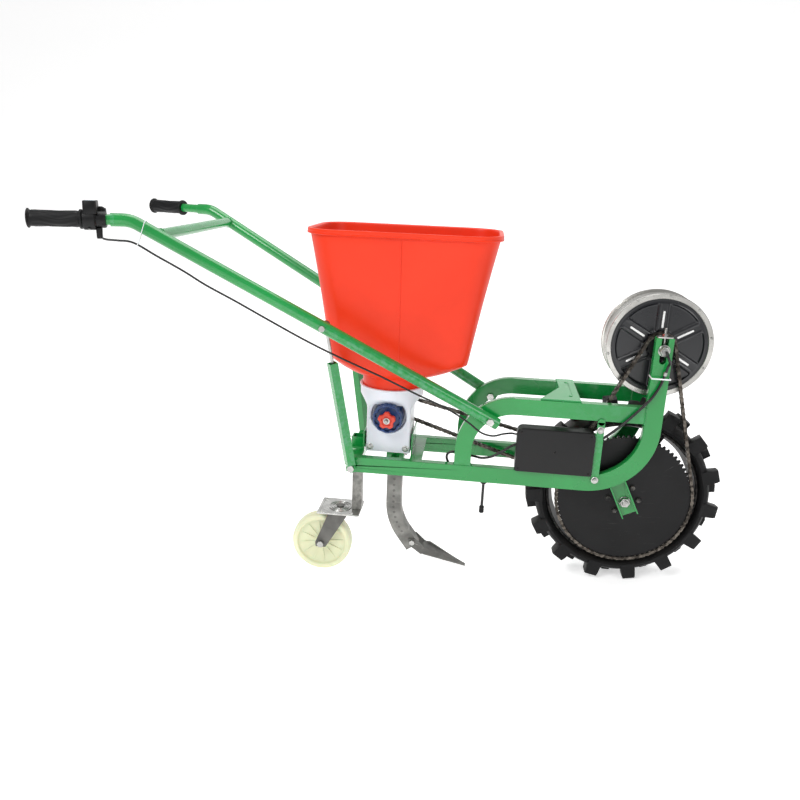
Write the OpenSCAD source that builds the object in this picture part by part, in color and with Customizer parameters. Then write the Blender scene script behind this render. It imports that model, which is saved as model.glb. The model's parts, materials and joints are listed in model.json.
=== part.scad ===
/* [Frame] */
// Width over the two side frames
frame_w = 200; // [190:1:260]
// Width of the frame tube
rail_w = 20; // [16:1:20]
// Height of the frame tube
rail_h = 40; // [34:1:46]
// Wall of the frame tube
rail_wall = 2; // [1.5:0.5:3]
// Length of the lower rail behind the wheel axle
rail_rear = 682; // [660:1:760]
// Height of the lower rail's centre over the wheel axle
rail_z = 46.5; // [40:0.5:60]
// Bend radius of the front sweep, at the tube's centre
sweep_r = 142; // [110:1:160]
// Distance of the motor post ahead of the wheel axle
post_x = 37; // [20:1:60]
// Distance of the arch leg behind the wheel axle
arch_x = 397; // [370:1:430]
// Height of the arch's top rail over the wheel axle
arch_z = 225; // [200:1:250]
// Bend radius of the arch
arch_r = 118; // [80:1:125]
// Distance of the deck plate behind the wheel axle
deck_x = 152; // [140:1:170]
// Length of the deck plate along the machine
deck_l = 42; // [36:1:48]
// Slope of the machine as it stands, front end down, in degrees
nose_down = 4.8; // [0:0.1:6]

/* [Drive wheel] */
// Radius of the wheel over the lugs
tyre_r = 235; // [215:1:300]
// Width of the tyre
tyre_w = 92; // [70:1:96]
// Height of the lugs
lug_h = 24; // [10:1:30]
// Lugs in each of the two rows
lugs = 15; // [11:1:21]
// Radius of the tyre's bore
rim_r = 184; // [180:1:190]
// Diameter of the wheel axle
axle_d = 16; // [12:1:20]

/* [Chains] */
// Chain pitch
pitch = 12.7; // [12.7:0.1:12.7]
// Teeth on the wheel's large sprocket
wheel_teeth = 80; // [60:4:80]
// Teeth on the motor sprocket
motor_teeth = 16; // [12:4:20]
// Teeth on the wheel's small sprocket
feed_teeth = 24; // [20:4:28]
// Teeth on the seed roller's sprocket
meter_teeth = 12; // [12:4:16]
// Distance of the two chain planes from the middle
chain_y = 64; // [62:0.5:68]

/* [Hub motor] */
// Height of the motor axle over the top of the tyre
motor_z = 146.5; // [137:0.1:160]
// Radius of the motor's ring
motor_r = 121; // [100:1:123]
// Width of the motor's ring
motor_w = 78; // [50:1:80]
// Diameter of the motor axle
motor_axle_d = 14; // [10:1:16]

/* [Seed meter] */
// Distance of the seed roller behind the wheel axle
meter_x = 586; // [570:1:600]
// Height of the seed roller over the wheel axle
meter_z = 165; // [155:1:175]
// Length of the meter housing along the machine
meter_l = 118; // [112:1:126]
// Width of the meter housing across the machine
meter_w = 112; // [100:1:114]
// Wall of the meter housing
meter_wall = 4; // [3:0.5:5]
// Radius of the seed roller
roller_r = 37; // [28:0.5:40]
// Radius of the service opening in the housing's side
meter_hole_r = 44; // [42:0.5:48]
// Seed pockets round the roller
pockets = 10; // [6:1:12]

/* [Hopper] */
// Length of the hopper at its rim
hopper_l = 434; // [400:1:480]
// Width of the hopper at its rim
hopper_w = 268; // [220:1:290]
// Height of the rim over the wheel axle
hopper_z = 615; // [560:1:680]
// Distance of the rim's middle behind the wheel axle
rim_x = 562; // [555:1:575]
// Distance of the shoulder's middle behind the wheel axle
shoulder_x = 566; // [560:1:580]
// Height of the shoulder, where the sides turn in to the neck
shoulder_z = 300; // [285:1:330]
// Length of the hopper at its shoulder
shoulder_l = 330; // [280:1:360]
// Width of the hopper at its shoulder
shoulder_w = 190; // [170:1:200]
// Wall of the hopper
hopper_wall = 3; // [2:0.5:4]
// Radius of the hopper's neck
neck_r = 74; // [66:1:78]

/* [Handle] */
// Radius of the handle tubes
handle_r = 14; // [12:0.5:15]
// Wall of the handle tubes
handle_wall = 2; // [1.5:0.5:2.5]
// Distance of the handle pivot behind the wheel axle
pivot_x = 338; // [330:1:345]
// Height of the handle pivot over the wheel axle
pivot_z = 193; // [185:1:200]
// Distance of the handle bend behind the wheel axle
bend_x = 1132; // [1060:1:1200]
// Height of the handle bend over the wheel axle
bend_z = 622; // [600:1:660]
// Distance of the handle bend from the middle
bend_y = 240; // [220:1:260]
// Length of the straight end from the bend to the grip's end
bar_l = 200; // [195:1:230]
// Distance of the grips' ends from the middle
grip_y = 305; // [290:1:330]
// Radius of the bar inside the grips
bar_r = 11.1; // [11:0.1:11.5]
// Radius of the grips
grip_r = 18; // [16:0.5:19]
// Length of the grips
grip_l = 108; // [95:1:110]
// Distance of the braces' upper bolts behind the wheel axle
brace_x = 726; // [715:1:735]
// Distance of the handle's cross bar behind the wheel axle
cross_x = 1078; // [1040:1:1080]
// Length of the square brace tubes
brace_cut = 275; // [240:1:285]
// Radius of the brace rods
rod_r = 4; // [3.5:0.5:4.5]
// Width of the square brace tubes
brace_w = 20; // [18:1:22]

/* [Caster] */
// Radius of the caster wheel
caster_r = 80; // [60:1:82]
// Width of the caster wheel
caster_w = 40; // [30:1:42]
// Distance of the caster's swivel behind the wheel axle
caster_x = 713; // [708:1:720]
// Trail of the caster wheel behind its swivel
trail = 48; // [30:1:52]
// Width of the square caster stem
stem_w = 25; // [22:1:25]
// Distance of the caster stem behind the wheel axle
stem_x = 668; // [662:1:670]

/* [Opener] */
// Distance of the opener tube behind the wheel axle
opener_x = 570; // [565:1:575]
// Width of the opener tube along the machine
opener_w = 38; // [34:1:42]
// Width of the opener tube across the machine
opener_t = 32; // [28:1:36]
// Height at which the opener starts to bend, under the wheel axle
opener_bend_z = 84; // [70:1:100]

/* [Controller box] */
// Length of the controller box
box_l = 182; // [170:1:190]
// Height of the controller box
box_h = 110; // [100:1:116]
// Depth of the controller box
box_t = 36; // [34:1:38]
// Front end of the controller box behind the wheel axle
box_front = 90; // [88:1:94]

/* [Hidden] */

$fn = 48;
// Clearance that lets a pin or shaft turn in its hole
run = 0.1;
// Clearance round a bolt in a drilled hole
gap = 0.4;
// Gap left between faces that pass each other
face_gap = 0.5;
// Bends are thicker than straight lengths by this, and lap them by this angle, so that they join
bend_step = 0.06;
bend_lap = 0.4;

// Centre plane of each side frame, and faces of the lower rail
rail_y = frame_w / 2 - rail_w / 2;
rail_in = frame_w / 2 - rail_w;
rail_top = rail_z + rail_h / 2;
rail_bottom = rail_z - rail_h / 2;
motor_up = tyre_r + motor_z;
post_top = motor_up + 28;
// Pitch radii of the sprockets
function pitch_r(teeth) = pitch / 2 / sin(180 / teeth);
wheel_pr = pitch_r(wheel_teeth);
motor_pr = pitch_r(motor_teeth);
feed_pr = pitch_r(feed_teeth);
meter_pr = pitch_r(meter_teeth);
sprocket_t = 6;
// Handle: offset of the tube's centre line at the pivot, and its slope
handle_y = frame_w / 2 + handle_r + 2;
pivot_pt = [-pivot_x, -handle_y, pivot_z];
bend_pt = [-bend_x, -bend_y, bend_z];
bar_dx = sqrt(pow(bar_l, 2) - pow(grip_y - bend_y, 2));
bar_end = [-bend_x - bar_dx, -grip_y, bend_z];
bar_turn = atan2(grip_y - bend_y, bar_dx);
handle_dir = (bend_pt - pivot_pt) / norm(bend_pt - pivot_pt);
function on_handle(x) = pivot_pt + handle_dir * ((x + pivot_x) / handle_dir[0]);
// Braces: lower bolt on the rail's end, upper bolt on the handle
brace_low = [-rail_rear + 14, -(frame_w / 2 + brace_w / 2 + 3.5), rail_z - 4];
brace_hi = on_handle(-brace_x) + [0, handle_r + 10.5, 0];
brace_dir = (brace_hi - brace_low) / norm(brace_hi - brace_low);
brace_l = norm(brace_hi - brace_low);
// Caster wheel's axle height, so that both wheels stand on one floor
caster_cx = -caster_x - trail;
caster_cz = (caster_r - tyre_r - caster_cx * -sin(nose_down)) / cos(nose_down);
fork_top = caster_cz + caster_r + 14;
plate_t = 4;
// Place of the standing machine: floor at zero, middle of its length over the origin
grip_flange_r = 21.5;
end_x = bar_end[0] * cos(nose_down) + bend_z * sin(nose_down);
shift_x = -(end_x + tyre_r) / 2 + 5.1;

module stand() {
  translate([shift_x, 0, tyre_r]) rotate([0, nose_down, 0]) children();
}

// Turns a shape drawn in X and Y into one drawn in X and Z, thick along Y
module upright(y0, t) {
  translate([0, y0 + t, 0]) rotate([90, 0, 0]) linear_extrude(t) children();
}

// A round bar along Y
module rod_y(x, y0, z, r, l) {
  translate([x, y0 + l, z]) rotate([90, 0, 0]) cylinder(r = r, h = l);
}

// A hexagon along Y
module hex_y(x, y0, z, across, l) {
  translate([x, y0 + l, z]) rotate([90, 0, 0]) cylinder(r = across / 2 / cos(30), h = l, $fn = 6);
}

// Mirrors a right-hand piece to the left
module left() {
  mirror([0, 1, 0]) children();
}

// A quarter or part ring of tube section in the upright plane, centred at y
module arc_y(cx, y, cz, r, from, turn, h, w) {
  translate([cx, y, cz]) rotate([90, 0, 0]) rotate([0, 0, from])
    rotate_extrude(angle = turn, $fn = 96) translate([r, 0]) square([h, w], center = true);
}

// Places its children with Z along the line from a to b
module aim(a, b) {
  d = b - a;
  translate(a) rotate([0, acos(d[2] / norm(d)), atan2(d[1], d[0])]) children();
}

// Frame ---------------------------------------------------------------

module side_path(h, w, over) {
  cx = post_x - sweep_r;
  cz = rail_z + sweep_r;
  translate([-rail_rear - over, -rail_y - w / 2, rail_z - h / 2])
    cube([rail_rear + cx + over, w, h]);
  arc_y(cx, -rail_y, cz, sweep_r, 270, 90, h, w);
  translate([post_x - h / 2, -rail_y - w / 2, cz]) cube([h, w, post_top - cz + over]);
}

module side_frame() {
  slot = motor_axle_d + 2 * gap;
  difference() {
    side_path(rail_h, rail_w, 0);
    side_path(rail_h - 2 * rail_wall, rail_w - 2 * rail_wall, 1);
    translate([post_x - slot / 2, -frame_w / 2 - 1, motor_up - 24]) cube([slot, rail_w + 2, 60]);
    rod_y(post_x, -frame_w / 2 - 1, motor_up - 24, slot / 2, rail_w + 2);
    rod_y(brace_low[0], -frame_w / 2 - 1, brace_low[2], 5 + gap, rail_w + 2);
  }
}

module side_frame_right() {
  color("#23964b") stand() side_frame();
}

module side_frame_left() {
  color("#23964b") stand() left() side_frame();
}

module arch_path(h, w, over) {
  cx = -arch_x + arch_r;
  cz = arch_z - arch_r;
  front = post_x - rail_h / 2;
  translate([-arch_x - h / 2, -rail_y - w / 2, rail_top - over]) cube([h, w, cz - rail_top + over]);
  arc_y(cx, -rail_y, cz, arch_r, 90, 90, h, w);
  translate([cx, -rail_y - w / 2, arch_z - h / 2]) cube([front - cx + over, w, h]);
}

module arch() {
  difference() {
    arch_path(rail_h, rail_w, 0);
    arch_path(rail_h - 2 * rail_wall, rail_w - 2 * rail_wall, 1);
    rod_y(-pivot_x, -frame_w / 2 - 1, pivot_z, 5 + gap, rail_w + 2);
  }
}

module arch_right() {
  color("#23964b") stand() arch();
}

module arch_left() {
  color("#23964b") stand() left() arch();
}

// Cross tube at the rear with the socket that the caster stem slides in
socket_w = stem_w + 2 * gap + 6;
socket_top = rail_top + 22;
module rear_cross_tube() {
  color("#23964b") stand() difference() {
    union() {
      translate([-stem_x - 16, -rail_in, rail_z - 16]) cube([32, 2 * rail_in, 32]);
      translate([-stem_x - socket_w / 2, -socket_w / 2, rail_bottom])
        cube([socket_w, socket_w, socket_top - rail_bottom]);
    }
    difference() {
      translate([-stem_x - 14, -rail_in - 1, rail_z - 14]) cube([28, 2 * rail_in + 2, 28]);
      translate([-stem_x - socket_w / 2, -socket_w / 2, rail_bottom])
        cube([socket_w, socket_w, socket_top - rail_bottom]);
    }
    translate([-stem_x - stem_w / 2 - gap, -stem_w / 2 - gap, rail_bottom - 1])
      cube([stem_w + 2 * gap, stem_w + 2 * gap, 100]);
    translate([-stem_x - socket_w / 2 - 1, 0, rail_top + 10]) rotate([0, 90, 0]) cylinder(r = 4.2, h = 6);
  }
}

// Angle irons across the lower rails that carry the meter housing
angle_x = meter_x - meter_l / 2;
module meter_angle(dir, foot) {
  difference() {
    union() {
      translate([dir > 0 ? 0 : -foot, -rail_in, rail_top - 3]) cube([foot, 2 * rail_in, 3]);
      translate([dir > 0 ? 0 : -3, -meter_w / 2, rail_top]) cube([3, meter_w, 52]);
    }
    for (y = [-meter_w / 2 + 14, meter_w / 2 - 14], z = [12, 38])
      translate([-5, y, rail_top + z]) rotate([0, 90, 0]) cylinder(r = 3.4, h = 10);
  }
}

module meter_angles() {
  color("#23964b") stand() {
    translate([-angle_x, 0, 0]) meter_angle(1, 30);
    translate([-angle_x - meter_l, 0, 0]) meter_angle(-1, 6);
  }
}

// Plate across the arches, with its corner gusset
module deck_plate() {
  t = 4;
  z = arch_z + rail_h / 2;
  y = frame_w / 2 - 4;
  color("#35b264") stand() translate([0, 0, z]) difference() {
    linear_extrude(t) polygon([[-deck_x - deck_l / 2, y], [-deck_x + deck_l / 2, y],
      [-deck_x + deck_l / 2, -y], [-deck_x - deck_l / 2 - 52, -y], [-deck_x - deck_l / 2, -y + 110]]);
    for (s = [-1, 1]) translate([-deck_x, s * 60, -1]) cylinder(r = 4.3, h = t + 2);
  }
}

// Channels that hang from the sweeps and hold the wheel axle
module axle_bracket() {
  in = rail_in;
  difference() {
    intersection() {
      rotate([0, -26, 0]) difference() {
        translate([-20, -in - 20, -34]) cube([40, 20, 130]);
        translate([-17, -in - 21, -35]) cube([34, 18, 132]);
      }
      difference() {
        translate([-120, -in - 21, -60]) cube([240, 22, 200]);
        arc_y(post_x - sweep_r, -in - 11, rail_z + sweep_r, sweep_r / 2 + rail_h / 4 + 0.2, 0, 360,
          sweep_r + rail_h / 2 + 0.4, 24);
      }
    }
    rod_y(0, -in - 4, 0, axle_d / 2 + gap, 6);
  }
}

module axle_brackets() {
  color("#23964b") stand() {
    axle_bracket();
    left() axle_bracket();
  }
}

// Drive wheel --------------------------------------------------------

module wheel_axle() {
  color("#9a9a98") stand() rod_y(0, -rail_in - 17, 0, axle_d / 2, 2 * (rail_in + 17));
}

lug_a = 360 / lugs;
body_r = tyre_r - lug_h;
// Outline of one row of lugs: a ring with blocks of radius tyre_r
lug_tip = 3.4;
lug_foot = 4.6;
function lug_ring(off) = [for (k = [0 : lugs - 1],
  p = [[-lug_tip, 1], [lug_tip, 1], [lug_foot, 0], [lug_a / 2, 0], [lug_a - lug_foot, 0]])
  let (a = off + k * lug_a + p[0], r = p[1] > 0 ? tyre_r : body_r) [r * cos(a), r * sin(a)]];
lug_start = 270 - nose_down;
module tyre() {
  color("#17171a") stand() {
    difference() {
      union() {
        upright(-tyre_w / 2, tyre_w / 2) polygon(lug_ring(-lug_start - lug_a / 4));
        upright(0, tyre_w / 2) polygon(lug_ring(-lug_start + lug_a / 4));
      }
      rod_y(0, -tyre_w, 0, rim_r, 2 * tyre_w);
    }
  }
}

rim_w = tyre_w - 28;
rim_bore = rim_r - 6;
module wheel_rim() {
  color("#2c2c2e") stand() difference() {
    rod_y(0, -rim_w / 2, 0, rim_r, rim_w);
    rod_y(0, -rim_w / 2 - 1, 0, rim_bore, rim_w + 2);
  }
}

hub_r = 24;
hub_end = chain_y - sprocket_t / 2 - face_gap;
bearing_r = 17.5;
module wheel_hub() {
  color("#2c2c2e") stand() difference() {
    union() {
      rod_y(0, -hub_end, 0, hub_r, 2 * hub_end);
      for (a = [0 : 60 : 300]) rotate([0, a, 0])
        translate([hub_r - 2, -14, -4]) cube([rim_bore - 0.1 - hub_r + 2, 28, 8]);
      rod_y(0, -hub_end, 0, 46, 5);
      rod_y(0, hub_end - 5, 0, 34, 5);
    }
    rod_y(0, -hub_end - 1, 0, axle_d / 2 + 3, 2 * hub_end + 2);
    for (s = [0, 1]) mirror([0, s, 0]) rod_y(0, -hub_end - 1, 0, bearing_r, 13);
  }
}

module hub_bearings() {
  color("#c4c4c2") stand() for (s = [0, 1]) mirror([0, s, 0]) difference() {
    rod_y(0, -hub_end, 0, bearing_r, 12);
    rod_y(0, -hub_end - 1, 0, axle_d / 2 + run, 14);
  }
}

// Outline of a sprocket
tooth_tip = 1.3;
tooth_root = 4.6;
function teeth_outline(n) = [for (k = [0 : n - 1], p = [[-0.34, 0], [-0.1, 1], [0.1, 1], [0.34, 0]])
  let (a = 360 / n * (k + p[0]), r = pitch_r(n) + (p[1] > 0 ? tooth_tip : -tooth_root))
    [r * cos(a), r * sin(a)]];

module sprocket(n, y, bore, from) {
  difference() {
    upright(y - sprocket_t / 2, sprocket_t) rotate([0, 0, from]) polygon(teeth_outline(n));
    rod_y(0, y - sprocket_t, 0, bore, 2 * sprocket_t);
  }
}

// The large sprocket is bolted to the hub's right end, the small one to its left end
module wheel_sprockets() {
  color("#1d1d1f") stand() {
    difference() {
      sprocket(wheel_teeth, -chain_y, axle_d / 2 + 3, drive_from);
      for (a = [0 : 60 : 300]) rotate([0, a, 0]) rod_y(36, -chain_y - 10, 0, 4.2, 20);
    }
    sprocket(feed_teeth, chain_y, axle_d / 2 + 3, feed_from);
  }
}

// Chains: side plates and rollers as one band, open towards the teeth ----------

// Angle of the line between two centres and half angle of the wrap
function line_a(c) = atan2(c[1], c[0]);
function wrap_a(c, r1, r2) = acos((r1 - r2) / norm(c));
motor_c = [post_x, motor_up];
meter_c = [-meter_x, meter_z];
drive_from = line_a(motor_c) + wrap_a(motor_c, wheel_pr, motor_pr);
feed_from = line_a(meter_c) + wrap_a(meter_c, feed_pr, meter_pr);
band = 4.3;

module band_section(w, step) {
  slot_w = sprocket_t / 2 + face_gap - step;
  difference() {
    translate([-band - step, -w - step]) square(2 * [band + step, w + step]);
    translate([-band - 1, -slot_w]) square([band + 1 + tooth_tip + face_gap - step, 2 * slot_w]);
  }
}

// One straight run from p to q, whose outward side faces the angle a
module straight(p, q, a, w) {
  d = q - p;
  translate([p[0], 0, p[1]]) rotate([0, -a, 0])
    mirror([0, 0, (d[0] * -sin(a) + d[1] * cos(a)) > 0 ? 0 : 1])
      linear_extrude(norm(d)) band_section(w, 0);
}

module chain_arc(c, r, from, turn, w) {
  translate([c[0], 0, c[1]]) rotate([90, 0, 0]) rotate([0, 0, from - bend_lap])
    rotate_extrude(angle = turn + 2 * bend_lap, $fn = 96) translate([r, 0]) band_section(w, bend_step);
}

module chain(c, r1, r2, y) {
  w = 7.6;
  la = line_a(c);
  wa = wrap_a(c, r1, r2);
  translate([0, y, 0]) {
    chain_arc([0, 0], r1, la + wa, 360 - 2 * wa, w);
    chain_arc(c, r2, la - wa, 2 * wa, w);
    for (s = [-1, 1]) {
      a = la + s * wa;
      n = [cos(a), sin(a)];
      straight(n * r1, c + n * r2, a, w);
    }
  }
}

module drive_chain() {
  color("#3c3a38") stand() chain(motor_c, wheel_pr, motor_pr, -chain_y);
}

module feed_chain() {
  color("#3c3a38") stand() chain(meter_c, feed_pr, meter_pr, chain_y);
}

// Hub motor ----------------------------------------------------------

motor_near = -50;
motor_far = motor_near + motor_w;
cover_t = 4;
boss_r = 22;
module at_motor() {
  translate([post_x, 0, motor_up]) children();
}

module motor_axle() {
  color("#a8a8a6") stand() at_motor() rod_y(0, -frame_w / 2 - 16, 0, motor_axle_d / 2, frame_w + 32);
}

// Nuts, washers and spacer tubes of both axles, and the tensioners on top of the posts
module post_fixings() {
  r = motor_axle_d / 2 + run;
  difference() {
    union() {
      rod_y(0, -frame_w / 2 - 2, 0, 13, 2);
      hex_y(0, -frame_w / 2 - 11, 0, 22, 9);
    }
    rod_y(0, -frame_w / 2 - 12, 0, r, 14);
  }
  difference() {
    rod_y(0, -rail_in, 0, 11, 5);
    rod_y(0, -rail_in - 1, 0, r, 7);
  }
  translate([-18, -rail_y - 9, post_top - motor_up]) difference() {
    cube([36, 18, 3]);
    translate([18, 9, -1]) cylinder(r = 3.2, h = 5);
  }
  translate([0, -rail_y, motor_axle_d / 2 + gap])
    cylinder(r = 3, h = post_top - motor_up + 22 - motor_axle_d / 2);
  translate([0, -rail_y, post_top - motor_up + 3]) difference() {
    cylinder(r = 6.5, h = 5, $fn = 6);
    translate([0, 0, -1]) cylinder(r = 3.05, h = 8);
  }
}

module wheel_fixings() {
  r = axle_d / 2 + run;
  spacer_in = chain_y + 5;
  difference() {
    hex_y(0, -rail_in - 12.3, 0, 24, 9);
    rod_y(0, -rail_in - 13, 0, r, 14);
  }
  difference() {
    rod_y(0, -rail_in, 0, 12, rail_in - spacer_in);
    rod_y(0, -rail_in - 1, 0, r, 40);
  }
}

module axle_fixings() {
  color("#c0c0bc") stand() for (s = [0, 1]) mirror([0, s, 0]) {
    at_motor() post_fixings();
    wheel_fixings();
  }
}

module motor_stator() {
  r = motor_axle_d / 2;
  color("#8a5a32") stand() at_motor() difference() {
    union() {
      difference() {
        rod_y(0, motor_near + 20, 0, motor_r - 16, motor_w - 40);
        rod_y(0, motor_near + 19, 0, motor_r - 42, motor_w - 38);
      }
      for (a = [0 : 60 : 300]) rotate([0, a, 0])
        translate([r, motor_near + 30, -5]) cube([motor_r - 41 - r, motor_w - 60, 10]);
      rod_y(0, motor_near + 26, 0, 18, motor_w - 52);
    }
    rod_y(0, motor_near, 0, r, motor_w);
  }
}

module motor_ring() {
  color("#b6b4ae") stand() at_motor() difference() {
    union() {
      rod_y(0, motor_near, 0, motor_r - 5, motor_w);
      rod_y(0, motor_near, 0, motor_r, 6);
      rod_y(0, motor_far - 6, 0, motor_r, 6);
    }
    rod_y(0, motor_near - 1, 0, motor_r - 12, motor_w + 2);
  }
}

// The side plate carries a bearing seat
module motor_cover(y, s) {
  difference() {
    union() {
      rod_y(0, s > 0 ? y : y - cover_t, 0, motor_r - 12 - run, cover_t);
      rod_y(0, s > 0 ? y : y - 12, 0, boss_r, 12);
    }
    rod_y(0, y - 40, 0, motor_axle_d / 2 + 2, 80);
    rod_y(0, s > 0 ? y + 3 : y - 13, 0, 16, 10);
    for (a = [30 : 60 : 330]) rotate([0, a, 0]) translate([44, y - 5, -2.5]) cube([38, 10, 5]);
  }
}

module motor_cover_right() {
  color("#22242a") stand() at_motor() motor_cover(motor_near, 1);
}

module motor_cover_left() {
  color("#22242a") stand() at_motor() motor_cover(motor_far, -1);
}

module motor_bearings() {
  color("#c4c4c2") stand() at_motor() for (y = [motor_near + 3, motor_far - 12]) difference() {
    rod_y(0, y, 0, 16, 9);
    rod_y(0, y - 1, 0, motor_axle_d / 2 + run, 11);
  }
}

module motor_sprocket() {
  y = -chain_y;
  color("#3a3a3c") stand() at_motor() difference() {
    union() {
      sprocket(motor_teeth, y, 12, drive_from);
      rod_y(0, y + sprocket_t / 2 - 0.5, 0, 19, motor_near - y - sprocket_t / 2 + 0.5);
    }
    rod_y(0, y - 10, 0, motor_axle_d / 2 + 2, 40);
  }
}

// Seed meter ---------------------------------------------------------

module at_meter() {
  translate([-meter_x, 0, meter_z]) children();
}

meter_base = rail_top - meter_z + 3;
meter_roof = 42;
roller_near = -84;
roller_far = 30;
chamber_r = roller_r + 0.3;
collar_z = 236;
cup_y = 22;
throat_l = 48;
// The housing: outer shell, two round cups, and the chamber round the roller
module meter_housing() {
  l = meter_l - 6.4;
  h = meter_roof - meter_base;
  near = -meter_w / 2;
  hood = throat_l + 8;
  color("#e4e6f0") stand() at_meter() difference() {
    union() {
      translate([-l / 2, near, meter_base]) cube([l, meter_w, h]);
      translate([0, 0, meter_roof - 1])
        cylinder(r = neck_r + meter_wall + 1, h = collar_z - meter_z - meter_roof + 1);
    }
    difference() {
      translate([-l / 2 + meter_wall, near + meter_wall, meter_base - 1])
        cube([l - 2 * meter_wall, meter_w - 2 * meter_wall, h + 1 - meter_wall]);
      rod_y(0, near, 0, meter_hole_r + 3, cup_y + 3);
      rod_y(0, -near - cup_y, 0, meter_hole_r + 3, cup_y);
      rod_y(0, near + cup_y, 0, chamber_r + meter_wall, meter_w - 2 * cup_y);
      translate([-hood / 2, near + cup_y, 10]) cube([hood, meter_w - 2 * cup_y, meter_roof]);
    }
    translate([-throat_l / 2, near + cup_y + 3, 0]) cube([throat_l, meter_w - 2 * cup_y - 6, 90]);
    translate([0, -13, -chamber_r - 9]) cube([22, 26, 24]);
    translate([0, 0, meter_roof + 3]) cylinder(r = neck_r + face_gap, h = 60);
    rod_y(0, near - 1, 0, meter_hole_r, cup_y + 1);
    rod_y(0, near + 2, 0, chamber_r, roller_far + face_gap - near - 2);
    rod_y(0, -meter_w, 0, 8 + run, 2 * meter_w);
  }
}

module meter_bolts() {
  near = -meter_w / 2;
  color("#b8b8b4") stand() at_meter() for (s = [0, 1], x = [-1, 1]) mirror([0, s, 0])
    hex_y(x * (meter_l / 2 - 14), near - 4, meter_base + 11, 10, 4);
}

// The brush starts just clear of the roller under its inner edge
brush_t = 7;
brush_z = sqrt(roller_r ^ 2 - (throat_l / 2 - brush_t) ^ 2) + 1.1;

module seed_brush() {
  color("#d8c890") stand() at_meter()
    translate([-throat_l / 2, -30, brush_z]) cube([brush_t, 60, 10]);
}

module seed_roller() {
  color("#32699b") stand() at_meter() difference() {
    rod_y(0, roller_near, 0, roller_r, roller_far - roller_near);
    rod_y(0, roller_near - 1, 0, roller_r - 5, 9);
    rod_y(0, -100, 0, 5 + run, 200);
    for (k = [0 : pockets - 1]) rotate([0, k * 360 / pockets, 0])
      translate([roller_r - 5, 0, 0]) rotate([0, 90, 0]) cylinder(r = 6, h = 10);
    for (a = [0 : 60 : 300]) rotate([0, a, 0]) rod_y(16, roller_near + 6, 0, 4, 12);
  }
}

module meter_shaft() {
  color("#b0b0ae") stand() at_meter() union() {
    rod_y(0, roller_near - 22, 0, 5, chain_y + 12 - roller_near + 22);
    rod_y(0, roller_far + 0.3, 0, 8, meter_w / 2 - roller_far - 0.3 + 0.4);
  }
}

module meter_sprocket() {
  color("#3a3a3c") stand() at_meter() union() {
    sprocket(meter_teeth, chain_y, 5, feed_from);
  }
}

// Five-lobed nut that clamps the roller
flower_y = roller_near - 15;
module flower_nut() {
  color("#cd462d") stand() at_meter() difference() {
    union() {
      rod_y(0, flower_y, 0, 17, 12);
      for (k = [0 : 4]) rotate([0, k * 72 + 18, 0]) rod_y(15, flower_y, 0, 8, 12);
    }
    rod_y(0, flower_y - 1, 0, 5 + run, 14);
  }
}

// Hopper -------------------------------------------------------------

neck_bottom = meter_z + meter_roof + 3.4;
module slab(l, w, r, t) {
  linear_extrude(t) hull() for (x = [-1, 1], y = [-1, 1])
    translate([x * (l / 2 - r), y * (w / 2 - r)]) circle(r = r, $fn = 32);
}

module hopper_body(d) {
  neck_z = 262;
  hull() {
    translate([-rim_x, 0, hopper_z - 1]) slab(hopper_l - 2 * d, hopper_w - 2 * d, 66 - d, 1);
    translate([-shoulder_x, 0, shoulder_z]) slab(shoulder_l - 2 * d, shoulder_w - 2 * d, 44 - d, 1);
  }
  hull() {
    translate([-shoulder_x, 0, shoulder_z]) slab(shoulder_l - 2 * d, shoulder_w - 2 * d, 44 - d, 1);
    translate([-meter_x, 0, neck_z]) cylinder(r = neck_r - d, h = 1, $fn = 48);
  }
}

module hopper() {
  color("#eb2d19") stand() {
    difference() {
      union() {
        hopper_body(0);
        translate([-meter_x, 0, neck_bottom]) cylinder(r = neck_r, h = 263 - neck_bottom);
        translate([-rim_x, 0, hopper_z - 12]) slab(hopper_l + 16, hopper_w + 16, 74, 12);
      }
      translate([0, 0, 0.01]) hopper_body(hopper_wall);
      translate([-meter_x, 0, neck_bottom - 1]) cylinder(r = neck_r - hopper_wall, h = 60);
    }
  }
}

// Opener -------------------------------------------------------------

// Sleeve between the lower rails that the opener tube is clamped in
module opener_holder() {
  l = opener_w + 2 * gap;
  w = opener_t + 2 * gap;
  z = rail_bottom + 2;
  color("#23964b") stand() translate([-opener_x, 0, z]) difference() {
    union() {
      translate([-l / 2 - 3, -w / 2 - 3, 0]) cube([l + 6, w + 6, 30]);
      translate([-10, -rail_in, 6]) cube([20, 2 * rail_in, 10]);
    }
    translate([-l / 2, -w / 2, -1]) cube([l, w, 40]);
    translate([l / 2 - 1, 0, 22]) rotate([0, 90, 0]) cylinder(r = 4.2, h = 6);
  }
}

opener_r = 150;
opener_turn = 36;
opener_tail = 46;
module opener_path(w, t, over) {
  cx = -opener_x + opener_r;
  top = rail_top - 6;
  step = over > 0 ? -bend_step : bend_step;
  translate([-opener_x - w / 2, -t / 2, -opener_bend_z]) cube([w, t, opener_bend_z + top + over]);
  arc_y(cx, 0, -opener_bend_z, opener_r, 180 - bend_lap, opener_turn + 2 * bend_lap, w + step, t + step);
  translate([cx, 0, -opener_bend_z]) rotate([0, -opener_turn, 0])
    translate([-opener_r - w / 2, -t / 2, -opener_tail - over]) cube([w, t, opener_tail + over]);
}

module opener_tube() {
  cx = -opener_x + opener_r;
  color("#7a746c") stand() difference() {
    opener_path(opener_w, opener_t, 0);
    opener_path(opener_w - 5, opener_t - 5, 1);
    translate([cx, 0, -opener_bend_z]) rotate([0, -opener_turn, 0])
      rod_y(-opener_r + 8, -30, -opener_tail + 14, 4 + gap, 60);
  }
}

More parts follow.
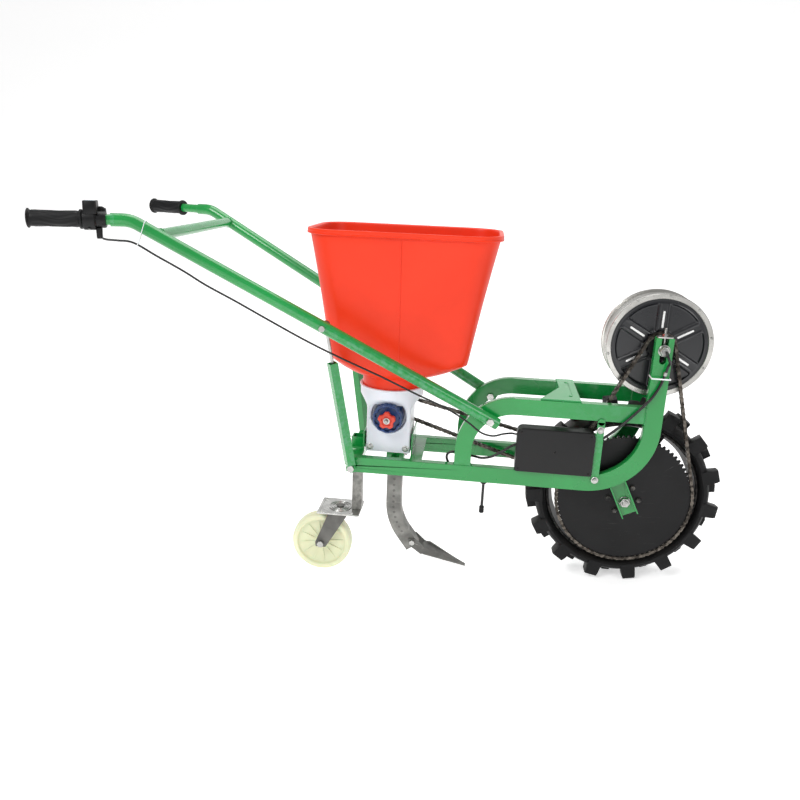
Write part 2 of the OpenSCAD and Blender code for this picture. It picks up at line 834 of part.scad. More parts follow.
module share_point() {
  t = 5;
  y = opener_t / 2 + 0.6;
  color("#6f6a64") stand() difference() {
    union() {
      for (s = [0, 1]) mirror([0, s, 0]) {
        upright(y, t) polygon([[-528, -186], [-508, -184], [-484, -206], [-468, -222], [-492, -226], [-520, -206]]);
        hull() {
          translate([-486, y, -226]) cube([16, t, 18]);
          translate([-374, 0, -260]) cube([2, 2, 4]);
        }
      }
      hull() {
        translate([-488, -y - t, -212]) cube([4, 2 * y + 2 * t, 6]);
        translate([-374, -2, -258]) cube([2, 4, 4]);
      }
    }
    translate([-opener_x + opener_r, 0, -opener_bend_z]) rotate([0, -opener_turn, 0])
      rod_y(-opener_r + 8, -30, -opener_tail + 14, 4 + gap, 60);
  }
}

module opener_bolt() {
  y = opener_t / 2 + 5.6;
  color("#c0c0bc") stand() translate([-opener_x + opener_r, 0, -opener_bend_z]) rotate([0, -opener_turn, 0])
    translate([-opener_r + 8, 0, -opener_tail + 14]) {
      rod_y(0, -y - 0.5, 0, 4, 2 * y + 6);
      hex_y(0, -y - 6, 0, 13, 5.5);
      hex_y(0, y + 0.5, 0, 13, 5);
    }
}

// Caster -------------------------------------------------------------

plate_z = fork_top + 4;
module caster_stem() {
  color("#7a746c") stand() difference() {
    translate([-stem_x - stem_w / 2, -stem_w / 2, plate_z + plate_t])
      cube([stem_w, stem_w, socket_top - 30 - plate_z - plate_t]);
    translate([-stem_x - stem_w / 2 + 2, -stem_w / 2 + 2, plate_z + plate_t - 1])
      cube([stem_w - 4, stem_w - 4, 400]);
  }
}

module caster_plate() {
  color("#d2d4d2") stand() difference() {
    union() {
      translate([-caster_x - 55, -48, plate_z]) cube([112, 96, plate_t]);
      translate([-caster_x, 0, plate_z + plate_t - 0.01]) for (r = [17, 24, 31]) difference() {
        cylinder(r = r, h = 2);
        translate([0, 0, -1]) cylinder(r = r - 3, h = 4);
      }
    }
    translate([-caster_x, 0, plate_z - 1]) cylinder(r = 6 + run, h = plate_t + 4);
    for (x = [-44, 36], y = [-38, 38]) translate([-caster_x + x, y, plate_z - 1]) cylinder(r = 4.5, h = 10);
  }
}

leg_y = caster_w / 2 + 3;
module caster_fork() {
  color("#645c56") stand() union() {
    difference() {
      union() {
        translate([-caster_x, 0, fork_top]) cylinder(r = 30, h = 3.5);
        for (s = [0, 1]) mirror([0, s, 0]) difference() {
          upright(-leg_y - 4, 4) polygon([[-caster_x - 26, fork_top + 1], [-caster_x + 26, fork_top + 1],
            [caster_cx + 13, caster_cz - 9], [caster_cx - 13, caster_cz - 9],
            [caster_cx - 15, caster_cz + 3]]);
          rod_y(caster_cx, -leg_y - 5, caster_cz, 5 + gap, 6);
        }
      }
    }
    translate([-caster_x, 0, fork_top]) cylinder(r = 6, h = plate_z + plate_t + 3 - fork_top);
    translate([-caster_x, 0, plate_z + plate_t + 0.4]) cylinder(r = 10, h = 4);
  }
}

module caster_bolt() {
  y = leg_y + 4.2;
  color("#b8b8b4") stand() union() {
    rod_y(caster_cx, -y, caster_cz, 5, 2 * y + 6);
    hex_y(caster_cx, -y - 6, caster_cz, 16, 6);
    hex_y(caster_cx, y, caster_cz, 16, 6);
  }
}

module caster_wheel() {
  w = caster_w;
  color("#e1ebb4") stand() difference() {
    rod_y(caster_cx, -w / 2, caster_cz, caster_r, w);
    for (s = [0, 1]) mirror([0, s, 0]) difference() {
      rod_y(caster_cx, -w / 2 - 1, caster_cz, caster_r - 14, 9);
      rod_y(caster_cx, -w / 2 - 2, caster_cz, 18, 12);
    }
    rod_y(caster_cx, -w, caster_cz, 5 + run, 2 * w);
  }
}

// Handle -------------------------------------------------------------

// A bar through three points, with a round bend at the middle one. The bend is
// thicker by step, and laps the straight lengths, so that the three join cleanly.
module bent_bar(a, b, c, bend_r, r, step) {
  d0 = (b - a) / norm(b - a);
  d1 = (c - b) / norm(c - b);
  turn = acos(d0 * d1);
  cut = bend_r * tan(turn / 2);
  u = (d1 - d0 * cos(turn)) / sin(turn);
  n = cross(d0, u);
  centre = b - d0 * cut + u * bend_r;
  aim(a, b) cylinder(r = r, h = norm(b - a) - cut + bend_lap / 2);
  multmatrix([[-u[0], d0[0], n[0], centre[0]], [-u[1], d0[1], n[1], centre[1]],
    [-u[2], d0[2], n[2], centre[2]]])
    rotate([0, 0, -bend_lap]) rotate_extrude(angle = turn + 2 * bend_lap, $fn = 96)
      translate([bend_r, 0]) circle(r = r + step, $fn = 48);
  aim(c, b) cylinder(r = r, h = norm(c - b) - cut + bend_lap / 2);
}

// Frame on the bar: X runs from the grip's end towards the bend
module at_bar() {
  translate(bar_end) rotate([0, 0, bar_turn]) children();
}

function along_bar(l) = bar_end + [cos(bar_turn), sin(bar_turn), 0] * l;
bar_cut = 164;
handle_low = pivot_pt - handle_dir * 20;
module bar_part() {
  at_bar() rotate([0, 90, 0]) difference() {
    union() {
      cylinder(r = bar_r, h = bar_cut + 1);
      translate([0, 0, bar_cut - 4]) cylinder(r = handle_r, h = 8);
    }
    translate([0, 0, -1]) cylinder(r = bar_r - 2, h = bar_cut + 20);
  }
}

module handle_tube() {
  bolt = on_handle(-brace_x);
  difference() {
    bent_bar(handle_low, bend_pt, along_bar(bar_cut), 60, handle_r, bend_step);
    bent_bar(handle_low - handle_dir, bend_pt, along_bar(bar_cut - 1), 60,
      handle_r - handle_wall, -bend_step);
    rod_y(-pivot_x, -handle_y - 30, pivot_z, 5 + run, 60);
    rod_y(bolt[0], bolt[1] - 30, bolt[2], 4 + gap, 60);
  }
  bar_part();
}

module handle_right() {
  a = on_handle(-cross_x);
  color("#23964b") stand() union() {
    handle_tube();
    difference() {
      rod_y(a[0], a[1] + handle_r - 3.5, a[2], 12, -2 * a[1] - 2 * handle_r + 7);
      rod_y(a[0], a[1] + handle_r - 4, a[2], 10, -2 * a[1]);
      left() aim(handle_low, bend_pt) cylinder(r = handle_r + 0.02, h = 900);
      aim(handle_low, bend_pt) cylinder(r = handle_r - handle_wall / 2, h = 900);
    }
  }
}

module handle_left() {
  color("#23964b") stand() left() handle_tube();
}

// Bolts and nuts that the handle tubes and the brace tubes turn on
module pivot_bolt(x, y, z) {
  rod_y(x, -y - 1, z, 5, y + 9 - rail_in);
  hex_y(x, -y - 6, z, 16, 5.5);
  hex_y(x, -rail_in + 0.2, z, 16, 7);
}

module pivot_bolts() {
  color("#c0c0bc") stand() for (s = [0, 1]) mirror([0, s, 0]) {
    pivot_bolt(-pivot_x, frame_w / 2 + 2 * handle_r + 4, pivot_z);
    pivot_bolt(brace_low[0], -brace_low[1] + 3, brace_low[2]);
  }
}

module grip(bore) {
  rotate([0, 90, 0]) difference() {
    union() {
      cylinder(r = grip_r, h = grip_l);
      cylinder(r = grip_flange_r, h = 4);
      translate([0, 0, grip_l - 6]) cylinder(r = grip_flange_r, h = 6);
    }
    translate([0, 0, 3]) cylinder(r = bore, h = grip_l);
  }
}

module grip_left() {
  color("#1c1c20") stand() left() at_bar() translate([-3.2, 0, 0]) grip(bar_r);
}

module throttle_grip() {
  color("#1c1c20") stand() at_bar() translate([-3.2, 0, 0]) grip(bar_r + run);
}

// Throttle housing, clamped on the bar inboard of the grip
housing_x = grip_l - 3.2 + 1;
housing_l = 46;
module throttle_housing() {
  color("#202024") stand() at_bar() translate([housing_x, 0, 0]) difference() {
    union() {
      translate([0, -19, -20]) cube([26, 38, 40]);
      translate([26, -16, -17]) cube([housing_l - 26, 34, 30]);
      translate([2, -21, 14]) cube([30, 38, 26]);
      translate([24, -12, -40]) cube([14, 14, 24]);
      translate([housing_l - 24, 2, 10]) cube([24, 18, 14]);
    }
    translate([-1, 0, 0]) rotate([0, 90, 0]) cylinder(r = bar_r, h = housing_l + 2);
    translate([5, -18, 38]) cube([24, 32, 5]);
    translate([housing_l - 12, 11, 18]) cylinder(r = 5.2, h = 10);
    translate([31, -5, -34]) rotate([0, 90, 0]) cylinder(r = 3.2, h = 10);
  }
}

module throttle_display() {
  color("#b8c8dc") stand() at_bar() translate([housing_x + 5, -18, 38]) cube([24, 32, 1.6]);
}

module power_button() {
  color("#a02018") stand() at_bar() translate([housing_x + housing_l - 12, 11, 20.4])
    cylinder(r = 4.9, h = 6.2);
}

// Braces -------------------------------------------------------------

module brace_tube() {
  w = brace_w;
  difference() {
    union() {
      aim(brace_low, brace_hi) translate([-w / 2, -w / 2, 10]) difference() {
        cube([w, w, brace_cut - 10]);
        translate([2, 2, 12]) cube([w - 4, w - 4, brace_cut]);
      }
      rod_y(brace_low[0], brace_low[1] - 2, brace_low[2], w / 2 + 2, w / 2 + 4);
    }
    rod_y(brace_low[0], brace_low[1] - 30, brace_low[2], 5 + run, 60);
  }
}

module brace_tubes() {
  color("#1f8744") stand() {
    brace_tube();
    left() brace_tube();
  }
}

// The rod's eye has a wide hole, so that it clears the bolt as the handle swings
module brace_rod() {
  difference() {
    union() {
      aim(brace_low, brace_hi) translate([0, 0, 70]) cylinder(r = rod_r, h = brace_l - 78);
      aim(brace_low, brace_hi) translate([0, 0, 66]) cylinder(r = brace_w / 2 - 2.6, h = 24);
      rod_y(brace_hi[0], brace_hi[1] - 3, brace_hi[2], 11, 6);
    }
    rod_y(brace_hi[0], brace_hi[1] - 20, brace_hi[2], 6.6, 40);
  }
}

module brace_rod_right() {
  color("#a2a29e") stand() brace_rod();
}

module brace_rod_left() {
  color("#a2a29e") stand() left() brace_rod();
}

module brace_bolts() {
  p = on_handle(-brace_x);
  color("#c0c0bc") stand() for (s = [0, 1]) mirror([0, s, 0]) {
    rod_y(p[0], p[1] - handle_r - 3, p[2], 4, 2 * handle_r + 22);
    hex_y(p[0], p[1] - handle_r - 7.4, p[2], 13, 5.5);
    hex_y(p[0], p[1] + handle_r + 18, p[2], 13, 6);
  }
}

// Controller box -----------------------------------------------------

box_near = -rail_in - 32;
box_z = rail_top + 1.2;
module box_outline(d) {
  r = 14 - d;
  x1 = -box_front - d;
  x0 = -box_front - box_l + d;
  z0 = box_z + d;
  z1 = box_z + box_h - d;
  translate([x0, box_near + d, z0]) cube([x1 - x0, box_t - 2 * d, z1 - z0 - r]);
  translate([x0, box_near + d + r, z1 - r - 1]) cube([x1 - x0, box_t - 2 * d - 2 * r, r + 1]);
  for (y = [box_near + d + r, box_near + box_t - d - r])
    translate([x0, y, z1 - r]) rotate([0, 90, 0]) cylinder(r = r, h = x1 - x0);
}

module controller_box() {
  color("#1c1c1e") stand() difference() {
    box_outline(0);
    box_outline(3);
    translate([-box_front - box_l - 1, -rail_y, box_z + 62]) rotate([0, 90, 0]) cylinder(r = 3.6, h = 6);
    translate([-box_front - 4, -rail_y - 6, box_z + 84]) rotate([0, 90, 0]) cylinder(r = 3.6, h = 6);
    translate([-box_front - box_l - 1, -rail_y - 4, box_z + 88]) rotate([0, 90, 0]) cylinder(r = 3.2, h = 6);
  }
}

cell_r = 9.2;
module controller_insides() {
  color("#3a6ea0") stand() {
    for (k = [0 : 3], j = [0, 1])
      translate([-box_front - box_l + 8 + j * 68, box_near + box_t / 2, box_z + 14 + k * 19])
        rotate([0, 90, 0]) cylinder(r = cell_r, h = 65);
    translate([-box_front - 34, box_near + 6, box_z + 8]) cube([24, 4, 88]);
  }
}

// Cables -------------------------------------------------------------

function cr(a, b, c, d, t) = 0.5 * (2 * b + (c - a) * t + (2 * a - 5 * b + 4 * c - d) * t * t
  + (3 * b - a - 3 * c + d) * t * t * t);
function curve(p, n) = [for (i = [0 : len(p) - 2], k = [0 : n - 1])
  cr(p[max(i - 1, 0)], p[i], p[i + 1], p[min(i + 2, len(p) - 1)], k / n), p[len(p) - 1]];
function unit(v) = v / norm(v);
function heading(p, i) = unit(p[min(i + 1, len(p) - 1)] - p[max(i - 1, 0)]);

// A tube swept along points; ref is a direction that the route never takes
module cable(points, r, n, ref) {
  p = curve(points, n);
  sides = 8;
  m = len(p);
  rings = [for (i = [0 : m - 1], k = [0 : sides - 1])
    let (t = heading(p, i), u = unit(cross(ref, t)), v = cross(t, u))
      p[i] + r * (u * cos(k * 360 / sides) + v * sin(k * 360 / sides))];
  skin = [for (i = [0 : m - 2], k = [0 : sides - 1], f = [0, 1])
    let (a = i * sides + k, b = i * sides + (k + 1) % sides)
      f == 0 ? [a, a + sides, b] : [b, a + sides, b + sides]];
  ends = [[for (k = [0 : sides - 1]) k], [for (k = [0 : sides - 1]) m * sides - 1 - k]];
  polyhedron(points = rings, faces = concat(ends, skin));
}

throttle_route = [[-1176, -280, 585], [-1166, -279, 583], [-1145, -276, 582], [-1115, -268, 578],
  [-1070, -259, 552], [-1015, -252, 522], [-968, -248, 494], [-907, -240, 462], [-840, -228, 424],
  [-764, -212, 381], [-690, -196, 343], [-590, -178, 297], [-516, -160, 259], [-440, -146, 223],
  [-390, -140, 192], [-358, -137, 168], [-330, -132, 160], [-306, -116, 161], [-286, -97, 158],
  [-277, -94, 156], [-270, -94, 156]];
module throttle_cable() {
  color("#141416") stand() cable(throttle_route, 2.2, 3, [0, 1, 0]);
}

motor_route = [[39, -119, 381], [39, -128, 379], [42, -131, 370], [48, -124, 360], [48, -112, 348],
  [44, -107, 323], [37, -107, 299], [24, -107, 272], [6, -107, 248], [-16, -107, 222], [-40, -107, 196],
  [-62, -105, 174], [-78, -99, 158], [-90, -96, 151]];
module motor_cable() {
  color("#141416") stand() cable(motor_route, 3.2, 3, [1, 0, 0]);
}

charge_route = [[-272, -90, 129], [-286, -91, 121], [-304, -93, 108], [-326, -93, 94], [-350, -88, 86],
  [-372, -77, 85], [-398, -72, 85], [-420, -71, 90], [-434, -71, 84], [-436, -72, 72], [-430, -74, 60],
  [-424, -76.8, 52]];
module charge_cable() {
  color("#141416") stand() cable(charge_route, 3, 3, [0, 0.6, 0.8]);
}

// Short lead that hangs under the right rail: gland, lead and plug
module charge_lead() {
  x = -342;
  color("#141416") stand() translate([x, -rail_y, 0]) {
    translate([0, 0, rail_bottom - 6]) cylinder(r = 9, h = 6);
    translate([0, 0, rail_bottom - 66]) cylinder(r = 3.4, h = 60);
    translate([0, 0, rail_bottom - 84]) cylinder(r = 6, h = 18);
  }
}

// Straps that hold the cables to the frame
module ties() {
  color("#f0f0f0") stand() {
    translate([post_x, -rail_y, 318]) difference() {
      translate([-rail_h / 2 - 1.4, -rail_w / 2 - 12.4, -1.6]) cube([rail_h + 2.8, rail_w + 13.8, 3.2]);
      translate([-rail_h / 2 - 0.1, -rail_w / 2 - 11, -2]) cube([rail_h + 0.2, rail_w + 11.1, 4]);
    }
  }
}

side_frame_right();
side_frame_left();
arch_right();
arch_left();
rear_cross_tube();
opener_holder();
meter_angles();
deck_plate();
axle_brackets();
wheel_axle();
axle_fixings();
pivot_bolts();
tyre();
wheel_rim();
wheel_hub();
hub_bearings();
wheel_sprockets();
drive_chain();
feed_chain();
motor_axle();
motor_stator();
motor_ring();
motor_cover_right();
motor_cover_left();
motor_bearings();
motor_sprocket();
motor_cable();
meter_housing();
meter_bolts();
seed_brush();
seed_roller();
meter_shaft();
meter_sprocket();
flower_nut();
hopper();
opener_tube();
share_point();
opener_bolt();
caster_stem();
caster_plate();
caster_fork();
caster_bolt();
caster_wheel();
handle_right();
handle_left();
grip_left();
throttle_grip();
throttle_housing();
throttle_display();
power_button();
throttle_cable();
brace_tubes();
brace_rod_right();
brace_rod_left();
brace_bolts();
controller_box();
controller_insides();
charge_cable();
charge_lead();
ties();
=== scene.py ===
import json
import math

import bmesh
import bpy
from bpy.props import FloatProperty, FloatVectorProperty, IntProperty, PointerProperty
from bpy.types import Operator, Panel, PropertyGroup
from mathutils import Matrix, Vector

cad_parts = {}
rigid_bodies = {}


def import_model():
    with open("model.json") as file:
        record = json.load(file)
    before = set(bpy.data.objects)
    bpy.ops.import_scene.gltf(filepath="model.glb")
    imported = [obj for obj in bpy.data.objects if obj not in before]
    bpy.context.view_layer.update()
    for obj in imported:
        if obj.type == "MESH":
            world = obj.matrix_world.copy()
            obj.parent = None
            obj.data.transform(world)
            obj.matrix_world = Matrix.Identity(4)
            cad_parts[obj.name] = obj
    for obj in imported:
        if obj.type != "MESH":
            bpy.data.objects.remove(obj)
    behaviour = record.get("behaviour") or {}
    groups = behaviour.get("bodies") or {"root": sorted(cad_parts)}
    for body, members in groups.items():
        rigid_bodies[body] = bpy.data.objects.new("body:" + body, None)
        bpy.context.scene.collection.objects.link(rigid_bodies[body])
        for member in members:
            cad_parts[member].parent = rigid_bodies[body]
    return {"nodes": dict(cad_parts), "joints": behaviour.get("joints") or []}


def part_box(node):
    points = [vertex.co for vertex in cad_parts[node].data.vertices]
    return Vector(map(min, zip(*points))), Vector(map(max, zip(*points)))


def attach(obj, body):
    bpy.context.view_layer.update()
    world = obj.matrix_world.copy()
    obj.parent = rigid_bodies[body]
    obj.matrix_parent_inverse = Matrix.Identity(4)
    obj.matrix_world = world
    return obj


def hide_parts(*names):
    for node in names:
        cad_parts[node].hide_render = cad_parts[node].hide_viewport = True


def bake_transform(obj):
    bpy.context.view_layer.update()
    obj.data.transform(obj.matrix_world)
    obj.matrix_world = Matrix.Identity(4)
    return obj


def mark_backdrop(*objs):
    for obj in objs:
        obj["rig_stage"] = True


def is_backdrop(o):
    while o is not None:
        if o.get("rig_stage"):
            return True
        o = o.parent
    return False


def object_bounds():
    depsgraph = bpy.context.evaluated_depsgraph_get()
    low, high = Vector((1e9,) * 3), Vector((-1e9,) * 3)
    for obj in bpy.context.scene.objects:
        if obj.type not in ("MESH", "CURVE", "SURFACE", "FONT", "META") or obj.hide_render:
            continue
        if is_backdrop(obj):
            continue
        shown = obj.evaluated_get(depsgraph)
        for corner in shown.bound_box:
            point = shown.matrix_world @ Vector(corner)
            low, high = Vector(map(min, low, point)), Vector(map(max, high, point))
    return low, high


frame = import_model()

bl_info = {
    "name": "Push Seeder",
    "version": (1, 0, 0),
    "blender": (4, 5, 0),
    "location": "3D View > Sidebar > Seeder",
    "description": "Builds the looks of a motor-assisted push seeder round its frame",
    "category": "Object",
}

# The machine is drawn level: X forward, Z up, the wheel axle at the origin. STAND sets it on its wheels.
CAD_BOX = [list(corner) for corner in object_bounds()]
JOINTS = {joint["name"]: joint for joint in frame["joints"]}
UP = Vector(JOINTS["caster_swivel_turn"]["axis"])
SLOPE = math.atan2(UP.x, UP.z)
STAND = Matrix.Translation(JOINTS["wheel_spin"]["pos_m"]) @ Matrix.Rotation(SLOPE, 4, "Y")
LEVEL = STAND.inverted()
MM = 0.001
BAND_RADIUS = 4.2 * MM


def joint_at(name):
    """A joint's place in the level machine."""
    return LEVEL @ Vector(JOINTS[name]["pos_m"])


def extent(node):
    """A CAD node's size along each axis as it stands."""
    low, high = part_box(node)
    return Vector(high) - Vector(low)


def colour(code):
    """Linear red, green and blue of a screen colour such as 23964b."""
    parts = [int(code[k:k + 2], 16) / 255 for k in (0, 2, 4)]
    return tuple(c / 12.92 if c <= 0.04045 else ((c + 0.055) / 1.055) ** 2.4 for c in parts)


MOTOR = joint_at("motor_spin")
METER = joint_at("meter_spin")
CASTER = joint_at("caster_spin")
SWIVEL = joint_at("caster_swivel_turn")
BAR_END = joint_at("throttle_twist")
BAR_DIRECTION = LEVEL.to_3x3() @ Vector(JOINTS["throttle_twist"]["axis"])


# Sizes and colours -----------------------------------------------------------------------------


def length_value(name, description, default, low=0.0001, high=3.0):
    """A length that a user can change."""
    return FloatProperty(
        name=name, description=description, default=default, min=low, max=high, unit="LENGTH", precision=4
    )


def colour_value(name, description, code):
    """A colour that a user can change."""
    return FloatVectorProperty(
        name=name, description=description, default=colour(code), min=0, max=1, size=3, subtype="COLOR"
    )


class SeederSizes(PropertyGroup):
    """Sizes of the seeder's detailed pieces."""

    tyre_radius: length_value("Tyre radius", "Radius over the lugs", extent("tyre").z / 2)
    tyre_width: length_value("Tyre width", "Width over the lugs", extent("tyre").y)
    lug_height: length_value("Lug height", "Height of a lug over the tread", 24 * MM)
    lug_count: IntProperty(name="Lugs", description="Lugs in each of the two rows", default=15, min=6,
                           max=30)
    rim_radius: length_value("Rim radius", "Radius of the wheel's rim", extent("wheel_rim").z / 2)
    chain_pitch: length_value("Chain pitch", "Distance between two pins of a chain", 12.7 * MM)
    wheel_teeth: IntProperty(name="Wheel teeth", description="Teeth of the large sprocket", default=80,
                             min=20)
    motor_teeth: IntProperty(name="Motor teeth", description="Teeth of the motor sprocket", default=16,
                             min=9)
    feed_teeth: IntProperty(name="Feed teeth", description="Teeth of the small wheel sprocket", default=24,
                            min=9)
    meter_teeth: IntProperty(name="Roller teeth", description="Teeth of the roller's sprocket", default=12,
                             min=9)
    motor_radius: length_value("Motor radius", "Radius of the motor's ring", extent("motor_ring").z / 2)
    motor_screws: IntProperty(name="Motor screws", description="Screws in each flange", default=10, min=4,
                              max=36)
    roller_radius: length_value("Roller radius", "Radius of the seed roller", extent("seed_roller").z / 2)
    hopper_wall: length_value("Hopper wall", "Wall of the hopper", 3 * MM)
    grip_radius: length_value("Grip radius", "Radius of the hand grips", 18 * MM)
    edge: length_value("Edge", "Roundness of the sheet and tube edges", 0.9 * MM)
    cable: length_value("Cable", "Radius of the throttle cable", 2.2 * MM)


class SeederColours(PropertyGroup):
    """Colours of the seeder's finishes."""

    frame: colour_value("Frame", "Gloss paint of the frame", "0d9440")
    deck: colour_value("Deck", "Lighter paint of the deck plate", "22a355")
    hopper: colour_value("Hopper", "Moulded plastic of the hopper", "ee3408")
    housing: colour_value("Housing", "Moulded plastic of the meter housing", "e9ebf4")
    roller: colour_value("Roller", "Moulded plastic of the seed roller", "27457c")
    knob: colour_value("Knob", "Moulded plastic of the lobed nut", "d8402a")
    caster: colour_value("Caster", "Nylon of the caster wheel", "e4e6c2")
    rubber: colour_value("Rubber", "Rubber of tyre, grips and cables", "08080a")
    covers: colour_value("Covers", "Paint of the motor's covers", "0c0e14")
    steel: colour_value("Steel", "Bare and plated steel", "c9c9c6")
    primer: colour_value("Primer", "Weathered steel of opener and stem", "8b8a86")


# Node groups and finishes ----------------------------------------------------------------------


class Net:
    """Adds nodes to a tree. A value that is a socket is linked, any other is set."""

    def __init__(self, tree):
        self.tree = tree

    def add(self, kind, values=None, **settings):
        node = self.tree.nodes.new(kind)
        for key, value in settings.items():
            setattr(node, key, value)
        for key, value in (values or {}).items():
            if isinstance(value, bpy.types.NodeSocket):
                self.tree.links.new(value, node.inputs[key])
            else:
                node.inputs[key].default_value = value
        return node

    def noise(self, place, scale, detail=3.0, distortion=0.0):
        values = {"Vector": place, "Scale": scale, "Detail": detail, "Distortion": distortion}
        return self.add("ShaderNodeTexNoise", values).outputs["Fac"]

    def span(self, value, low, high, to_low=0.0, to_high=1.0):
        values = {"Value": value, "From Min": low, "From Max": high, "To Min": to_low, "To Max": to_high}
        return self.add("ShaderNodeMapRange", values).outputs["Result"]

    def blend(self, share, first, second, how="MIX"):
        node = self.add("ShaderNodeMix", data_type="RGBA", blend_type=how)
        for place, value in ((0, share), (6, first), (7, second)):
            if isinstance(value, bpy.types.NodeSocket):
                self.tree.links.new(value, node.inputs[place])
            else:
                node.inputs[place].default_value = value
        return node.outputs[2]


def opaque(rgb, share=1.0):
    """A colour with alpha, darkened by share."""
    return (rgb[0] * share, rgb[1] * share, rgb[2] * share, 1.0)


def new_group(name, inputs, outputs):
    """A shader node group with float inputs and outputs, and its net, input and output nodes."""
    tree = bpy.data.node_groups.new(name, "ShaderNodeTree")
    for label, value in inputs:
        socket = tree.interface.new_socket(name=label, in_out="INPUT", socket_type="NodeSocketFloat")
        socket.default_value = value
    for label in outputs:
        tree.interface.new_socket(name=label, in_out="OUTPUT", socket_type="NodeSocketFloat")
    net = Net(tree)
    return net, net.add("NodeGroupInput").outputs, net.add("NodeGroupOutput").inputs


def surface_group():
    """Fine grain, broad patches, worn edges and thin scratches over a surface."""
    inputs = [("Grain Scale", 600.0), ("Patch Scale", 9.0), ("Edge Low", 0.52), ("Scratch Scale", 30.0)]
    net, given, out = new_group("Seeder surface", inputs, ["Grain", "Patches", "Edges", "Scratches"])
    place = net.add("ShaderNodeTexCoord").outputs["Object"]
    link = net.tree.links.new
    link(net.noise(place, given["Grain Scale"], 4.0), out["Grain"])
    patches = net.noise(place, given["Patch Scale"], 5.0, 0.4)
    link(net.span(patches, 0.35, 0.68), out["Patches"])
    point = net.add("ShaderNodeNewGeometry").outputs["Pointiness"]
    worn = net.span(point, given["Edge Low"], 0.6)
    broken = net.span(net.noise(place, 95.0, 6.0), 0.42, 0.62)
    both = net.add("ShaderNodeMath", {0: worn, 1: broken}, operation="MULTIPLY").outputs[0]
    link(both, out["Edges"])
    stretched = net.add("ShaderNodeMapping", {"Vector": place, "Scale": (1.0, 1.0, 14.0)}).outputs["Vector"]
    lines = net.noise(stretched, given["Scratch Scale"], 8.0, 1.2)
    link(net.span(lines, 0.66, 0.72), out["Scratches"])
    return net.tree


def dust_group():
    """Dust that settles on surfaces that face up, broken by noise."""
    net, given, out = new_group("Seeder dust", [("Amount", 0.3), ("Scale", 22.0)], ["Dust"])
    up = net.add("ShaderNodeSeparateXYZ", {"Vector": net.add("ShaderNodeNewGeometry").outputs["Normal"]})
    facing = net.span(up.outputs["Z"], 0.1, 1.0)
    place = net.add("ShaderNodeTexCoord").outputs["Object"]
    cloud = net.span(net.noise(place, given["Scale"], 6.0), 0.35, 0.75)
    spread = net.add("ShaderNodeMath", {0: facing, 1: cloud}, operation="MULTIPLY").outputs[0]
    total = net.add("ShaderNodeMath", {0: spread, 1: given["Amount"]}, operation="MULTIPLY").outputs[0]
    net.tree.links.new(total, out["Dust"])
    return net.tree


GROUPS = {}
FINISHES = {}


def shared(name, build):
    """A node group that is built the first time it is asked for."""
    if name not in GROUPS:
        GROUPS[name] = build()
    return GROUPS[name]


def finish(name, base, rough, shade=0.75, metal=0.0, grain=(600.0, 0.03), patch=9.0, worn=None, edge=0.54,
           scratches=0.0, dust=0.0, coat=0.0, coat_rough=0.1, inside=0.0, ior=1.5):
    """A finish of base colour with darker patches, grain, worn edges, scratches and dust.

    rough is the roughness in the patches and outside them, grain its scale and depth in millimetres.
    """
    if name in FINISHES:
        return FINISHES[name]
    material = bpy.data.materials.new("seeder_" + name)
    material.use_nodes = True
    net = Net(material.node_tree)
    shader = material.node_tree.nodes["Principled BSDF"]
    link = material.node_tree.links.new
    values = {"Grain Scale": grain[0], "Patch Scale": patch, "Edge Low": edge}
    surface = net.add("ShaderNodeGroup", node_tree=shared("surface", surface_group))
    for key, value in values.items():
        surface.inputs[key].default_value = value
    marks = surface.outputs
    tint = net.blend(marks["Patches"], opaque(base, shade), opaque(base))
    if scratches:
        seen = net.span(marks["Scratches"], 0.0, 1.0, 0.0, scratches)
        tint = net.blend(seen, tint, opaque(worn or (0.5, 0.5, 0.5)))
    if worn:
        tint = net.blend(marks["Edges"], tint, opaque(worn))
    if dust:
        settled = net.add("ShaderNodeGroup", node_tree=shared("dust", dust_group))
        settled.inputs["Amount"].default_value = dust
        tint = net.blend(settled.outputs["Dust"], tint, (0.42, 0.37, 0.30, 1.0))
    link(tint, shader.inputs["Base Color"])
    link(net.span(marks["Patches"], 0.0, 1.0, rough[0], rough[1]), shader.inputs["Roughness"])
    bump = net.add("ShaderNodeBump", {"Height": marks["Grain"], "Strength": 1.0, "Distance": grain[1] * MM})
    link(bump.outputs["Normal"], shader.inputs["Normal"])
    shader.inputs["Metallic"].default_value = metal
    shader.inputs["IOR"].default_value = ior
    shader.inputs["Coat Weight"].default_value = coat
    shader.inputs["Coat Roughness"].default_value = coat_rough
    if inside:
        shader.inputs["Subsurface Weight"].default_value = inside
        shader.inputs["Subsurface Radius"].default_value = (0.02, 0.008, 0.006)
        shader.inputs["Subsurface Scale"].default_value = 0.4
    FINISHES[name] = material
    return material


def colours():
    return bpy.context.scene.seeder_colours


def frame_paint():
    """Glossy powder paint with a faint orange peel."""
    return finish("frame_paint", colours().frame, (0.30, 0.22), 0.80, grain=(260.0, 0.09), patch=5.0,
                  worn=(0.05, 0.30, 0.12), coat=0.5, coat_rough=0.08, dust=0.06)


def deck_paint():
    return finish("deck_paint", colours().deck, (0.34, 0.26), 0.86, grain=(260.0, 0.09), coat=0.4,
                  dust=0.08)


def zinc():
    """Zinc-plated steel with a slight yellow cast."""
    return finish("zinc", colours().steel, (0.34, 0.22), 0.72, 1.0, (900.0, 0.012), 40.0, scratches=0.15)


def bare_steel():
    return finish("bare_steel", colours().steel, (0.42, 0.28), 0.55, 1.0, (700.0, 0.02), 30.0,
                  scratches=0.3)


